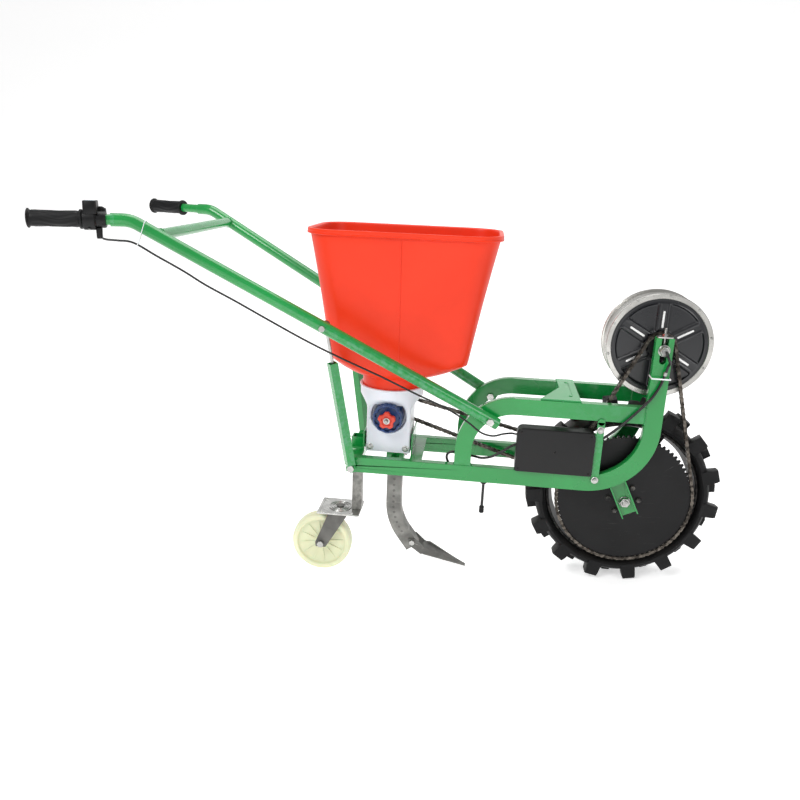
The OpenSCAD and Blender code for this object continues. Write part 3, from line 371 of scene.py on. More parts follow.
def weathered_steel():
    """Hot-rolled steel under a thin clear primer, mottled brown and grey."""
    return finish("weathered_steel", colours().primer, (0.55, 0.38), 0.50, 0.55, (420.0, 0.05), 26.0,
                  worn=(0.45, 0.43, 0.40), scratches=0.25, dust=0.15)


def fork_steel():
    return finish("fork_steel", tuple(0.62 * c for c in colours().primer), (0.5, 0.36), 0.6, 0.5,
                  (420.0, 0.04),
                  26.0, worn=(0.4, 0.38, 0.36))


def tyre_rubber():
    return finish("tyre_rubber", colours().rubber, (0.62, 0.46), 0.7, grain=(1400.0, 0.05), patch=14.0,
                  worn=(0.03, 0.03, 0.031), dust=0.05, ior=1.34)


def grip_rubber():
    return finish("grip_rubber", colours().rubber, (0.55, 0.42), 0.8, grain=(2200.0, 0.04), patch=20.0,
                  ior=1.36)


def cable_rubber():
    return finish("cable_rubber", tuple(0.6 * c for c in colours().rubber), (0.4, 0.3), 0.85,
                  grain=(900.0, 0.01))


def black_paint():
    """Satin black paint on sprockets, rim and hub, rubbed through at the teeth."""
    return finish("black_paint", colours().rubber, (0.50, 0.36), 0.7, grain=(500.0, 0.03), patch=11.0,
                  worn=(0.14, 0.13, 0.12), edge=0.56, scratches=0.12, dust=0.03, ior=1.34)


def chain_steel():
    return finish("chain_steel", (0.055, 0.047, 0.040), (0.5, 0.3), 0.5, 0.85, (900.0, 0.02), 60.0,
                  worn=(0.16, 0.14, 0.12))


def cast_alloy():
    """Turned and lacquered alloy of the motor's ring."""
    return finish("cast_alloy", (0.62, 0.61, 0.58), (0.34, 0.20), 0.68, 1.0, (700.0, 0.02), 16.0,
                  scratches=0.2)


def polished_alloy():
    return finish("polished_alloy", (0.86, 0.86, 0.85), (0.30, 0.20), 0.85, 0.8, (700.0, 0.01), 30.0)


def cover_paint():
    return finish("cover_paint", colours().covers, (0.36, 0.26), 0.8, grain=(1100.0, 0.03), patch=12.0,
                  coat=0.3)


def copper_winding():
    return finish("copper_winding", (0.42, 0.17, 0.06), (0.4, 0.25), 0.6, 0.9, (1500.0, 0.1), 60.0)


def hopper_plastic():
    """Blown polyethylene with a soft gloss."""
    return finish("hopper_plastic", colours().hopper, (0.42, 0.33), 0.88, grain=(240.0, 0.05), patch=6.0,
                  inside=0.08, dust=0.02, ior=1.4)


def housing_plastic():
    return finish("housing_plastic", colours().housing, (0.42, 0.34), 0.93, grain=(500.0, 0.03), patch=8.0,
                  inside=0.08)


def roller_plastic():
    return finish("roller_plastic", colours().roller, (0.36, 0.26), 0.6, grain=(500.0, 0.02), patch=24.0)


def knob_plastic():
    return finish("knob_plastic", colours().knob, (0.34, 0.26), 0.85, grain=(600.0, 0.02), patch=30.0)


def nylon():
    return finish("nylon", colours().caster, (0.46, 0.36), 0.90, grain=(500.0, 0.03), patch=16.0,
                  inside=0.25,
                  dust=0.10)


def black_plastic():
    return finish("black_plastic", colours().rubber, (0.44, 0.34), 0.8, grain=(1500.0, 0.03), patch=20.0,
                  ior=1.38)


def box_paint():
    """Satin black sheet steel."""
    return finish("box_paint", tuple(0.75 * c for c in colours().rubber), (0.40, 0.30), 0.85,
                  grain=(900.0, 0.02), patch=7.0, coat=0.15, coat_rough=0.25, dust=0.02, ior=1.36)


def display_glass():
    return finish("display_glass", (0.50, 0.58, 0.66), (0.16, 0.08), 0.75, grain=(300.0, 0.005), patch=40.0,
                  coat=1.0, coat_rough=0.03)


def button_plastic():
    return finish("button_plastic", (0.55, 0.02, 0.01), (0.3, 0.25), 0.8)


def tie_nylon():
    return finish("tie_nylon", (0.86, 0.87, 0.88), (0.4, 0.34), 0.95, grain=(900.0, 0.01), inside=0.1)


def bristle():
    return finish("bristle", (0.62, 0.50, 0.26), (0.7, 0.6), 0.5, grain=(2500.0, 0.4), patch=200.0)


def cell_wrap():
    return finish("cell_wrap", (0.03, 0.13, 0.36), (0.3, 0.22), 0.8, grain=(900.0, 0.01))


# Mesh building ---------------------------------------------------------------------------------


def side(x, y, z, left=False):
    """Places a shape's own Z along Y: towards the right of the machine, or to its left."""
    turn = Matrix(((-1, 0, 0), (0, 0, 1), (0, 1, 0))) if left else Matrix(((1, 0, 0), (0, 0, -1),
                                                                           (0, 1, 0)))
    return Matrix.Translation((x, y, z)) @ turn.to_4x4()


def facing(place, direction):
    """Places a shape's own Z along a direction."""
    return Matrix.Translation(place) @ Vector(direction).to_track_quat("Z", "Y").to_matrix().to_4x4()


def smooth(value, low, high):
    """0 below low, 1 above high, and a smooth rise between them."""
    t = min(max((value - low) / (high - low), 0), 1)
    return t * t * (3 - 2 * t)


def circle(radius, z, count=48, phase=0.0):
    angles = [phase + 2 * math.pi * k / count for k in range(count)]
    return [(radius * math.cos(a), radius * math.sin(a), z) for a in angles]


def oblong(centre, length, width, corner, z, steps=12):
    """A rounded rectangle in the level plane at height z."""
    points = []
    for quarter, (along, across) in enumerate(((1, 1), (-1, 1), (-1, -1), (1, -1))):
        x = centre + along * (length / 2 - corner)
        y = across * (width / 2 - corner)
        for k in range(steps + 1):
            angle = math.radians(90 * quarter + 90 * k / steps)
            points.append((x + corner * math.cos(angle), y + corner * math.sin(angle), z))
    return points


def curve(points, count):
    """A smooth line through the points, with count steps between two of them."""
    line = []
    for i in range(len(points) - 1):
        a, b, c, d = (Vector(points[max(0, min(i + k, len(points) - 1))]) for k in (-1, 0, 1, 2))
        for k in range(count):
            t = k / count
            line.append(0.5 * (2 * b + (c - a) * t + (2 * a - 5 * b + 4 * c - d) * t ** 2
                               + (3 * b - a - 3 * c + d) * t ** 3))
    return line + [Vector(points[-1])]


class Shape:
    """Faces drawn in the level machine, in metres. Each is drawn through the placing matrix at."""

    def __init__(self, at=None):
        self.mesh = bmesh.new()
        self.at = at or Matrix.Identity(4)
        self.finish = 0

    def skin(self, corners):
        face = self.mesh.faces.new(corners)
        face.material_index = self.finish
        face.smooth = True

    def loft(self, rings, around=True, joined=False, ends=True):
        """Skins one ring of points to the next."""
        rows = [[self.mesh.verts.new(self.at @ Vector(p)) for p in ring] for ring in rings]
        count = len(rows[0])
        for i in range(len(rows) if joined else len(rows) - 1):
            here, there = rows[i], rows[(i + 1) % len(rows)]
            for k in range(count if around else count - 1):
                n = (k + 1) % count
                self.skin([here[k], here[n], there[n], there[k]])
        if ends and not joined:
            self.skin(rows[0][::-1])
            self.skin(rows[-1])

    def lathe(self, profile, steps=64, closed=False):
        """Turns a profile of (radius, height) about the shape's Z."""
        rings = []
        for k in range(steps):
            angle = 2 * math.pi * k / steps
            rings.append([(r * math.cos(angle), r * math.sin(angle), z) for r, z in profile])
        self.loft(rings, around=closed, joined=True)

    def rod(self, radius, low, high, bevel=0.4 * MM, steps=40):
        """A round bar with broken edges."""
        self.lathe([(0, low), (radius - bevel, low), (radius, low + bevel), (radius, high - bevel),
                    (radius - bevel, high), (0, high)], steps)

    def prism(self, outline, low, high):
        """Extrudes an outline along the shape's Z."""
        self.loft([[(x, y, low) for x, y in outline], [(x, y, high) for x, y in outline]])

    def block(self, low, high):
        (x0, y0, z0), (x1, y1, z1) = low, high
        self.prism([(x0, y0), (x1, y0), (x1, y1), (x0, y1)], z0, z1)

    def tube(self, line, radius, sides=14, ends=True):
        """Sweeps a circle along a line. Radius is a number, or a function of the share of its length."""
        line = [Vector(p) for p in line]
        heading = (line[1] - line[0]).normalized()
        across = heading.orthogonal().normalized()
        rings = []
        for i, point in enumerate(line):
            ahead = (line[min(i + 1, len(line) - 1)] - line[max(i - 1, 0)]).normalized()
            across = (across - ahead * across.dot(ahead)).normalized()
            up = ahead.cross(across)
            r = radius(i / (len(line) - 1)) if callable(radius) else radius
            angles = [2 * math.pi * k / sides for k in range(sides)]
            rings.append([point + r * (math.cos(a) * across + math.sin(a) * up) for a in angles])
        self.loft(rings, ends=ends)

    def hexagon(self, width, low, high):
        """A hexagon across its flats, with chamfered corners at the top."""
        radius = width / math.sqrt(3)
        rings = [circle(radius, low, 6), circle(radius, high - 0.12 * width, 6),
                 circle(radius * 0.88, high, 6)]
        self.loft(rings)

    def thread(self, radius, low, high, pitch=1.25 * MM, steps=24):
        """A threaded stud, as rings one pitch apart."""
        profile = [(0, low)]
        z = low
        while z < high - pitch:
            profile += [(radius, z + 0.25 * pitch), (radius * 0.88, z + 0.75 * pitch)]
            z += pitch
        self.lathe(profile + [(radius * 0.85, high), (0, high)], steps)

    def bolt(self, width, height, washer=0.0, stud=0.0):
        """A hexagon on a washer, with a stud end that stands out of it."""
        base = 0.0
        if washer:
            self.lathe([(width * 0.25, 0), (washer, 0), (washer, 1.3 * MM), (washer - 0.4 * MM, 1.6 * MM),
                        (width * 0.25, 1.6 * MM)], 40)
            base = 1.6 * MM
        self.hexagon(width, base, base + height)
        if stud:
            self.thread(width * 0.3, base + height - 1 * MM, base + height + stud)


def put(name, shape, finishes, body, replaces=(), round_by=0.0, sharp=35):
    """Makes a piece of a shape, stands it on its wheels and lets it ride on a body."""
    bmesh.ops.remove_doubles(shape.mesh, verts=shape.mesh.verts, dist=1e-6)
    bmesh.ops.recalc_face_normals(shape.mesh, faces=shape.mesh.faces)
    shape.mesh.transform(STAND)
    mesh = bpy.data.meshes.new(name)
    shape.mesh.to_mesh(mesh)
    shape.mesh.free()
    mesh.set_sharp_from_angle(angle=math.radians(sharp))
    for material in finishes:
        mesh.materials.append(material)
    piece = bpy.data.objects.new(name, mesh)
    bpy.context.collection.objects.link(piece)
    if round_by:
        round_edges(piece, round_by)
    if body:
        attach(piece, body)
    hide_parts(*replaces)
    return piece


def round_edges(piece, width, segments=2):
    bevel = piece.modifiers.new("Rounded edges", "BEVEL")
    bevel.width = width
    bevel.segments = segments
    bevel.limit_method = "ANGLE"
    bevel.angle_limit = math.radians(38)
    bevel.harden_normals = True


def cut(piece, cutter):
    """Cuts a shape out of a piece."""
    mesh = bpy.data.meshes.new("cutter")
    bmesh.ops.remove_doubles(cutter.mesh, verts=cutter.mesh.verts, dist=1e-6)
    bmesh.ops.recalc_face_normals(cutter.mesh, faces=cutter.mesh.faces)
    cutter.mesh.transform(STAND)
    cutter.mesh.to_mesh(mesh)
    cutter.mesh.free()
    tool = bpy.data.objects.new("cutter", mesh)
    bpy.context.collection.objects.link(tool)
    hollow = piece.modifiers.new("Hole", "BOOLEAN")
    hollow.object = tool
    hollow.operation = "DIFFERENCE"
    hollow.solver = "EXACT"
    bpy.context.view_layer.update()
    done = bpy.data.meshes.new_from_object(piece.evaluated_get(bpy.context.evaluated_depsgraph_get()))
    piece.modifiers.remove(hollow)
    piece.data = done
    bpy.data.objects.remove(tool)
    return piece


def paint(nodes, material, edge=0.0):
    """Gives CAD nodes a finish and, with edge, rounds their edges."""
    for name in nodes:
        node = frame["nodes"][name]
        node.data.materials.clear()
        node.data.materials.append(material)
        if edge:
            weld = node.modifiers.new("Joined corners", "WELD")
            weld.merge_threshold = 1e-5
            round_edges(node, edge)


def weld_bead(shape, corners, radius=1.7 * MM, closed=True):
    """A rippled bead of weld along a line."""
    line = [Vector(p) for p in corners] + ([Vector(corners[0])] if closed else [])
    fine = [line[0]]
    for a, b in zip(line, line[1:]):
        steps = max(int((b - a).length / (1.2 * MM)), 2)
        fine += [a.lerp(b, k / steps) for k in range(1, steps + 1)]
    last = len(fine) - 1
    shape.tube(fine, lambda t: radius * (1 + 0.22 * math.sin(1.9 * t * last)), 8)


def rectangle(x, y, z, length, width, normal="Z"):
    """Four corners round a tube's end at a level face or at an upright one."""
    corners = ((-1, -1), (1, -1), (1, 1), (-1, 1))
    if normal == "Z":
        return [(x + a * length / 2, y + b * width / 2, z) for a, b in corners]
    return [(x, y + a * width / 2, z + b * length / 2) for a, b in corners]


# Places that more than one piece uses ----------------------------------------------------------

RAIL = Vector((20 * MM, 0, 40 * MM))
RAIL_Y = 90 * MM
RAIL_TOP = 66.5 * MM
ARCH_X = -397 * MM
ARCH_Z = 225 * MM
POST_X = MOTOR.x


class SEEDER_OT_frame(Operator):
    """Paint the tube frame and its welds"""

    bl_idname = "seeder.frame"
    bl_label = "Frame"

    def execute(self, context):
        edge = context.scene.seeder_sizes.edge
        paint(["side_frame_right", "side_frame_left", "arch_right", "arch_left"], frame_paint(), 2 * edge)
        paint(["rear_cross_tube", "opener_holder", "meter_angles", "axle_brackets"], frame_paint(), edge)
        paint(["deck_plate"], deck_paint(), edge)
        beads = Shape()
        for y in (-RAIL_Y, RAIL_Y):
            weld_bead(beads, rectangle(ARCH_X, y, RAIL_TOP, RAIL.z, RAIL.x))
            weld_bead(beads, rectangle(POST_X - RAIL.z / 2, y, ARCH_Z, RAIL.z, RAIL.x, "X"))
            inner = y - math.copysign(RAIL.x / 2, y)
            weld_bead(beads, [(-652 * MM, inner, 62.5 * MM), (-684 * MM, inner, 62.5 * MM)], closed=False)
            for x in (-131 * MM, -173 * MM):
                weld_bead(beads, [(x, y - RAIL.x / 2, 245 * MM), (x, y + RAIL.x / 2, 245 * MM)],
                          closed=False)
        put("weld_beads", beads, [frame_paint()], "frame")
        cover = Shape()
        gusset = [(-131 * MM, 245 * MM), (-173 * MM, 245 * MM), (-173 * MM, 206 * MM)]
        cover.at = Matrix(((1, 0, 0, 0), (0, 0, -1, 79.8 * MM), (0, 1, 0, 0), (0, 0, 0, 1)))
        cover.prism(gusset, 0, 3 * MM)
        put("deck_gusset", cover, [deck_paint()], "frame", round_by=edge)
        return {"FINISHED"}


class SEEDER_OT_drive_wheel(Operator):
    """Build the lugged tyre, the rim, the hub and the sprockets on them"""

    bl_idname = "seeder.drive_wheel"
    bl_label = "Drive wheel"

    def lug(self, shape, angle, way, sizes):
        """One block of a row: it starts at the middle, crosses the tread and turns down the side wall."""
        tip, half = sizes.tyre_radius, sizes.tyre_width / 2
        foot = tip - sizes.lug_height
        stations = [(1.5 * MM, foot - 2 * MM, tip - 1.5 * MM, 3.0, 2.2),
                    (12 * MM, foot - 2 * MM, tip, 4.2, 3.1),
                    (34 * MM, foot - 3 * MM, tip, 4.8, 3.5), (43 * MM, foot - 6 * MM, tip - 1 * MM, 5.0,
                                                              3.6),
                    (46 * MM, foot - 12 * MM, tip - 9 * MM, 5.0, 4.0),
                    (45.2 * MM, foot - 18 * MM, tip - 24 * MM, 4.6, 4.4)]
        rings = []
        for y, low, high, wide, narrow in stations:
            lean = angle + 22 * (min(y, half) - 20 * MM)
            ring = []
            for radius, offset in ((low, -wide), (low, wide), (high, narrow), (high, -narrow)):
                a = math.radians(lean + offset)
                ring.append((radius * math.cos(a), way * y * half / (46 * MM), radius * math.sin(a)))
            rings.append(ring)
        shape.loft(rings)

    def execute(self, context):
        sizes = context.scene.seeder_sizes
        foot = sizes.tyre_radius - sizes.lug_height
        rim, half = sizes.rim_radius, sizes.tyre_width / 2
        tyre = Shape(side(0, 0, 0))
        wall = [(foot + 2 * MM, 0), (foot + 1.5 * MM, half * 0.5), (foot - 2 * MM, half * 0.8),
                (foot - 8 * MM, half * 0.94),
                (foot - 14 * MM, half * 0.965), (foot - 15 * MM, half * 0.99),
                (foot - 17 * MM, half * 0.965),
                (foot - 22 * MM, half * 0.90), (rim + 2 * MM, half * 0.80), (rim + 0.5 * MM, half * 0.74)]
        bead = [(rim + 0.3 * MM, half * 0.6), (rim + 0.3 * MM, -half * 0.6)]
        profile = wall + bead + [(r, -z) for r, z in reversed(wall[1:])]
        tyre.lathe(profile, 180, closed=True)
        tyre.at = Matrix.Identity(4)
        step = 360 / sizes.lug_count
        down = math.degrees(SLOPE) - 90
        for k in range(sizes.lug_count):
            self.lug(tyre, down + step * (k + 0.25), -1, sizes)
            self.lug(tyre, down + step * (k - 0.25), 1, sizes)
        put("tyre_with_lugs", tyre, [tyre_rubber()], "drive_wheel", ["tyre"], round_by=1.0 * MM)
        lip = Shape(side(0, 0, 0))
        wide = extent("wheel_rim").y / 2
        lip.lathe([(rim, wide - 5 * MM), (rim - 1 * MM, wide), (rim - 5 * MM, wide + 1.5 * MM),
                   (rim - 7 * MM, wide),
                   (rim - 7 * MM, wide - 3 * MM), (rim - 16 * MM, 8 * MM), (rim - 16 * MM, -8 * MM),
                   (rim - 7 * MM, 3 * MM - wide), (rim - 7 * MM, -wide), (rim - 5 * MM, -wide - 1.5 * MM),
                   (rim - 1 * MM, -wide), (rim, 5 * MM - wide)], 120, closed=True)
        put("rim_with_lips", lip, [black_paint()], "drive_wheel", ["wheel_rim"])
        paint(["wheel_hub", "wheel_sprockets"], black_paint(), 0.5 * MM)
        paint(["hub_bearings"], zinc(), 0.5 * MM)
        screws = Shape()
        for k in range(6):
            angle = math.radians(60 * k)
            place = (36 * MM * math.cos(angle), -67 * MM, 36 * MM * math.sin(angle))
            screws.at = side(*place)
            screws.bolt(11 * MM, 4.5 * MM, 8 * MM)
        put("sprocket_bolts", screws, [black_paint()], "drive_wheel")
        return {"FINISHED"}


class SEEDER_OT_chains(Operator):
    """Build the drive chain and the feed chain link by link"""

    bl_idname = "seeder.chains"
    bl_label = "Chains"

    def pins(self, centre, first, second, pitch):
        """Pins round two sprockets of pitch radii first and second, the second one at centre."""
        line = math.atan2(centre[1], centre[0])
        span = math.hypot(*centre)
        wrap = math.acos((first - second) / span)
        run = math.sqrt(span ** 2 - (first - second) ** 2)
        stretches = [first * (2 * math.pi - 2 * wrap), run, second * 2 * wrap, run]
        total = sum(stretches)
        count = 2 * round(total / pitch / 2)
        pins = []
        for k in range(count):
            s = total * k / count
            if s < stretches[0]:
                a = line + wrap + s / first
                pins.append((first * math.cos(a), first * math.sin(a)))
                continue
            s -= stretches[0]
            low, high = line - wrap, line + wrap
            if s < run:
                start = Vector((first * math.cos(low), first * math.sin(low)))
                end = Vector(centre) + Vector((second * math.cos(low), second * math.sin(low)))
                pins.append(tuple(start.lerp(end, s / run)))
                continue
            s -= run
            if s < stretches[2]:
                a = low + s / second
                pins.append((centre[0] + second * math.cos(a), centre[1] + second * math.sin(a)))
                continue
            s -= stretches[2]
            start = Vector(centre) + Vector((second * math.cos(high), second * math.sin(high)))
            end = Vector((first * math.cos(high), first * math.sin(high)))
            pins.append(tuple(start.lerp(end, s / run)))
        return pins

    def plate(self, pitch):
        """Outline of a link plate between two pins, with its waist."""
        outline = []
        for centre, turn in ((0, 180), (pitch, 0)):
            for k in range(7):
                a = math.radians(turn - 66 + 22 * k)
                outline.append((centre + BAND_RADIUS * math.cos(a), BAND_RADIUS * math.sin(a)))
            outline.append((pitch / 2, 0.72 * BAND_RADIUS * (-1 if turn else 1)))
        return outline

    def chain(self, name, node, centre, teeth, y, pitch, slot):
        first, second = (pitch / 2 / math.sin(math.pi / n) for n in teeth)
        pins = self.pins(centre, first, second, pitch)
        shape = Shape()
        for k, (x, z) in enumerate(pins):
            next_x, next_z = pins[(k + 1) % len(pins)]
            turn = math.atan2(next_z - z, next_x - x)
            link = side(x, y, z) @ Matrix.Rotation(turn, 4, "Z")
            gap = math.hypot(next_x - x, next_z - z)
            inner = 3.4 * MM if k % 2 else 5.1 * MM
            for low in (inner, -inner - 1.4 * MM):
                shape.at = link
                shape.prism(self.plate(gap), low, low + 1.4 * MM)
            shape.at = side(x, y, z)
            shape.lathe([(3.9 * MM, -3.3 * MM), (3.9 * MM, 3.3 * MM)], 12)
            for low, high in ((3.3 * MM, 7.3 * MM), (-7.3 * MM, -3.3 * MM)):
                shape.lathe([(0, low), (1.7 * MM, low), (1.9 * MM, (low + high) / 2), (1.7 * MM, high),
                             (0, high)], 10)
        put(name, shape, [chain_steel()], "frame", [node], sharp=50)

    def execute(self, context):
        sizes = context.scene.seeder_sizes
        low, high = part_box("drive_chain")
        drive_y = (low[1] + high[1]) / 2
        self.chain("drive_chain_links", "drive_chain", (MOTOR.x, MOTOR.z),
                   (sizes.wheel_teeth, sizes.motor_teeth),
                   drive_y, sizes.chain_pitch, "chain_steel")
        self.chain("feed_chain_links", "feed_chain", (METER.x, METER.z),
                   (sizes.feed_teeth, sizes.meter_teeth),
                   -drive_y, sizes.chain_pitch, "chain_steel")
        return {"FINISHED"}


class SEEDER_OT_hub_motor(Operator):
    """Build the hub motor's ring, covers, slots and screws"""

    bl_idname = "seeder.hub_motor"
    bl_label = "Hub motor"

    def height(self, radius, angle):
        """How far the cover stands out: a low dome with six pressed fans between six slots."""
        past = (math.degrees(angle) - 30) % 60
        away = radius * math.sin(math.radians(min(past, 60 - past)))
        ring = smooth(radius, 34 * MM, 40 * MM) * (1 - smooth(radius, 96 * MM, 100 * MM))
        fan = smooth(away, 12.5 * MM, 16 * MM) * ring
        ridge = math.exp(-((away - 9.5 * MM) / (1.9 * MM)) ** 2) * ring
        edge = smooth(radius, 100 * MM, 103 * MM)
        return 2.6 * MM * (1 - radius / (109 * MM)) - 4.2 * MM * fan + 1.7 * MM * ridge - 1.2 * MM * edge

    def cover(self, name, node, face_y, left):
        shape = Shape(side(MOTOR.x, face_y, MOTOR.z, left))
        around = 432
        radii = [12 * MM + 96.8 * MM * k / 64 for k in range(65)]
        rings = []
        for k in range(around):
            a = 2 * math.pi * k / around
            ring = [(12 * MM * math.cos(a), 12 * MM * math.sin(a), -9 * MM)]
            ring += [(r * math.cos(a), r * math.sin(a), self.height(r, a)) for r in radii]
            ring += [(108.8 * MM * math.cos(a), 108.8 * MM * math.sin(a), -9 * MM)]
            rings.append(ring)
        shape.loft(rings, joined=True)
        put(name, shape, [cover_paint()], "motor_rotor", [node], sharp=60)

    def execute(self, context):
        sizes = context.scene.seeder_sizes
        low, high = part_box("motor_ring")
        near, far = low[1], high[1]
        radius = sizes.motor_radius
        ring = Shape(side(MOTOR.x, 0, MOTOR.z))
        outer = [(radius - 12 * MM, -near - 1 * MM), (radius - 11 * MM, -near), (radius - 1.2 * MM, -near),
                 (radius, -near - 1.2 * MM), (radius, -near - 5 * MM), (radius - 1.2 * MM, -near - 6 * MM),
                 (radius - 5 * MM, -near - 6.6 * MM)]
        ribs = []
        z = -near - 12 * MM
        while z > -far + 14 * MM:
            ribs += [(radius - 5 * MM, z), (radius - 8 * MM, z - 0.8 * MM), (radius - 8 * MM, z - 3 * MM),
                     (radius - 5 * MM, z - 3.8 * MM)]
            z -= 8 * MM
        back = [(r, -far - near - z0) for r, z0 in reversed(outer)]
        ring.lathe(outer + ribs + back, 180, closed=True)
        put("motor_ring_ribbed", ring, [cast_alloy()], "motor_rotor", ["motor_ring"],
            sharp=30)
        self.cover("motor_cover_right_pressed", "motor_cover_right", near, False)
        self.cover("motor_cover_left_pressed", "motor_cover_left", far, True)
        slots, screws = Shape(), Shape()
        for face_y, left in ((near, False), (far, True)):
            base = side(MOTOR.x, face_y, MOTOR.z, left)
            for k in range(6):
                slots.at = base @ Matrix.Rotation(math.radians(30 + 60 * k), 4, "Z")
                bar = [(x, y) for x, y, _ in oblong(62 * MM, 40 * MM, 5 * MM, 2.4 * MM, 0, 5)]
                slots.prism(bar, -2 * MM, 2.4 * MM)
            for k in range(sizes.motor_screws):
                angle = 2 * math.pi * (k + 0.35) / sizes.motor_screws
                screws.at = base @ Matrix.Rotation(angle, 4, "Z") @ Matrix.Translation((radius - 5 * MM, 0,
                                                                                        0))
                screws.lathe([(0, 2.6 * MM), (1.4 * MM, 2.6 * MM), (1.5 * MM, 1 * MM), (2 * MM, 1 * MM),
                              (2.1 * MM, 2.6 * MM), (2.9 * MM, 2.2 * MM), (3.2 * MM, 0)], 20)
        put("motor_slots", slots, [polished_alloy()], "motor_rotor", round_by=0.5 * MM)
        put("motor_screws", screws, [bare_steel()], "motor_rotor")
        paint(["motor_sprocket"], black_paint(), 0.4 * MM)
        paint(["motor_bearings"], zinc(), 0.4 * MM)
        paint(["motor_stator"], copper_winding())
        paint(["motor_axle"], bare_steel(), 0.6 * MM)
        return {"FINISHED"}


class SEEDER_OT_fixings(Operator):
    """Build the nuts, washers and tensioners of both axles and the pivot bolts"""

    bl_idname = "seeder.fixings"
    bl_label = "Fixings"

    def post(self, shape, left):
        way = 1 if left else -1
        shape.at = side(MOTOR.x, way * 100.1 * MM, MOTOR.z, left)
        shape.lathe([(7.2 * MM, 0), (13.5 * MM, 0), (13.5 * MM, 1.6 * MM), (13 * MM, 2 * MM),
                     (7.2 * MM, 2 * MM)], 48)
        shape.lathe([(7.2 * MM, 2 * MM), (11.6 * MM, 2 * MM), (11.2 * MM, 3.6 * MM), (7.2 * MM, 4 * MM)],
                    48)
        shape.hexagon(21 * MM, 4 * MM, 11.5 * MM)
        shape.at = side(MOTOR.x, way * 75 * MM, MOTOR.z, left)
        shape.lathe([(7.2 * MM, 0), (10.6 * MM, 0), (11 * MM, 0.4 * MM), (11 * MM, 4.8 * MM),
                     (7.2 * MM, 5 * MM)], 48)
        top = MOTOR.z + 28 * MM
        shape.at = Matrix.Translation((MOTOR.x, way * RAIL_Y, 0))
        plate = [(x, y) for x, y, _ in oblong(0, 36 * MM, 18 * MM, 4 * MM, 0, 4)]
        shape.prism(plate, top + 0.05 * MM, top + 3 * MM)
        shape.hexagon(11 * MM, top + 3 * MM, top + 8.5 * MM)
        shape.thread(3 * MM, top + 8 * MM, top + 22 * MM, 1 * MM)
        shape.rod(3 * MM, MOTOR.z + 7.5 * MM, top)

    def execute(self, context):
        axles = Shape()
        for left in (False, True):
            way = 1 if left else -1
            self.post(axles, left)
            axles.at = side(0, way * 83.3 * MM, 0, left)
            axles.bolt(23 * MM, 8 * MM, 13.4 * MM)
            axles.at = side(0, way * 69 * MM, 0, left)
            axles.lathe([(8.2 * MM, 0), (12 * MM, 0), (12 * MM, 10.9 * MM), (8.2 * MM, 10.9 * MM)], 40)
        put("axle_nuts_and_washers", axles, [zinc()], "frame", ["axle_fixings"])
        stub = Shape()
        half = extent("wheel_axle").y / 2
        stub.at = side(0, 0, 0)
        stub.rod(8 * MM, -half + 14 * MM, half - 14 * MM, 0.2 * MM)
        for left in (False, True):
            stub.at = side(0, 0, 0, left)
            stub.thread(7.9 * MM, half - 15 * MM, half, 1.5 * MM, 40)
        put("wheel_axle_threaded", stub, [bare_steel()], "frame", ["wheel_axle"])
        paint(["pivot_bolts", "brace_bolts", "caster_bolt", "opener_bolt"], zinc(), 0.5 * MM)
        return {"FINISHED"}


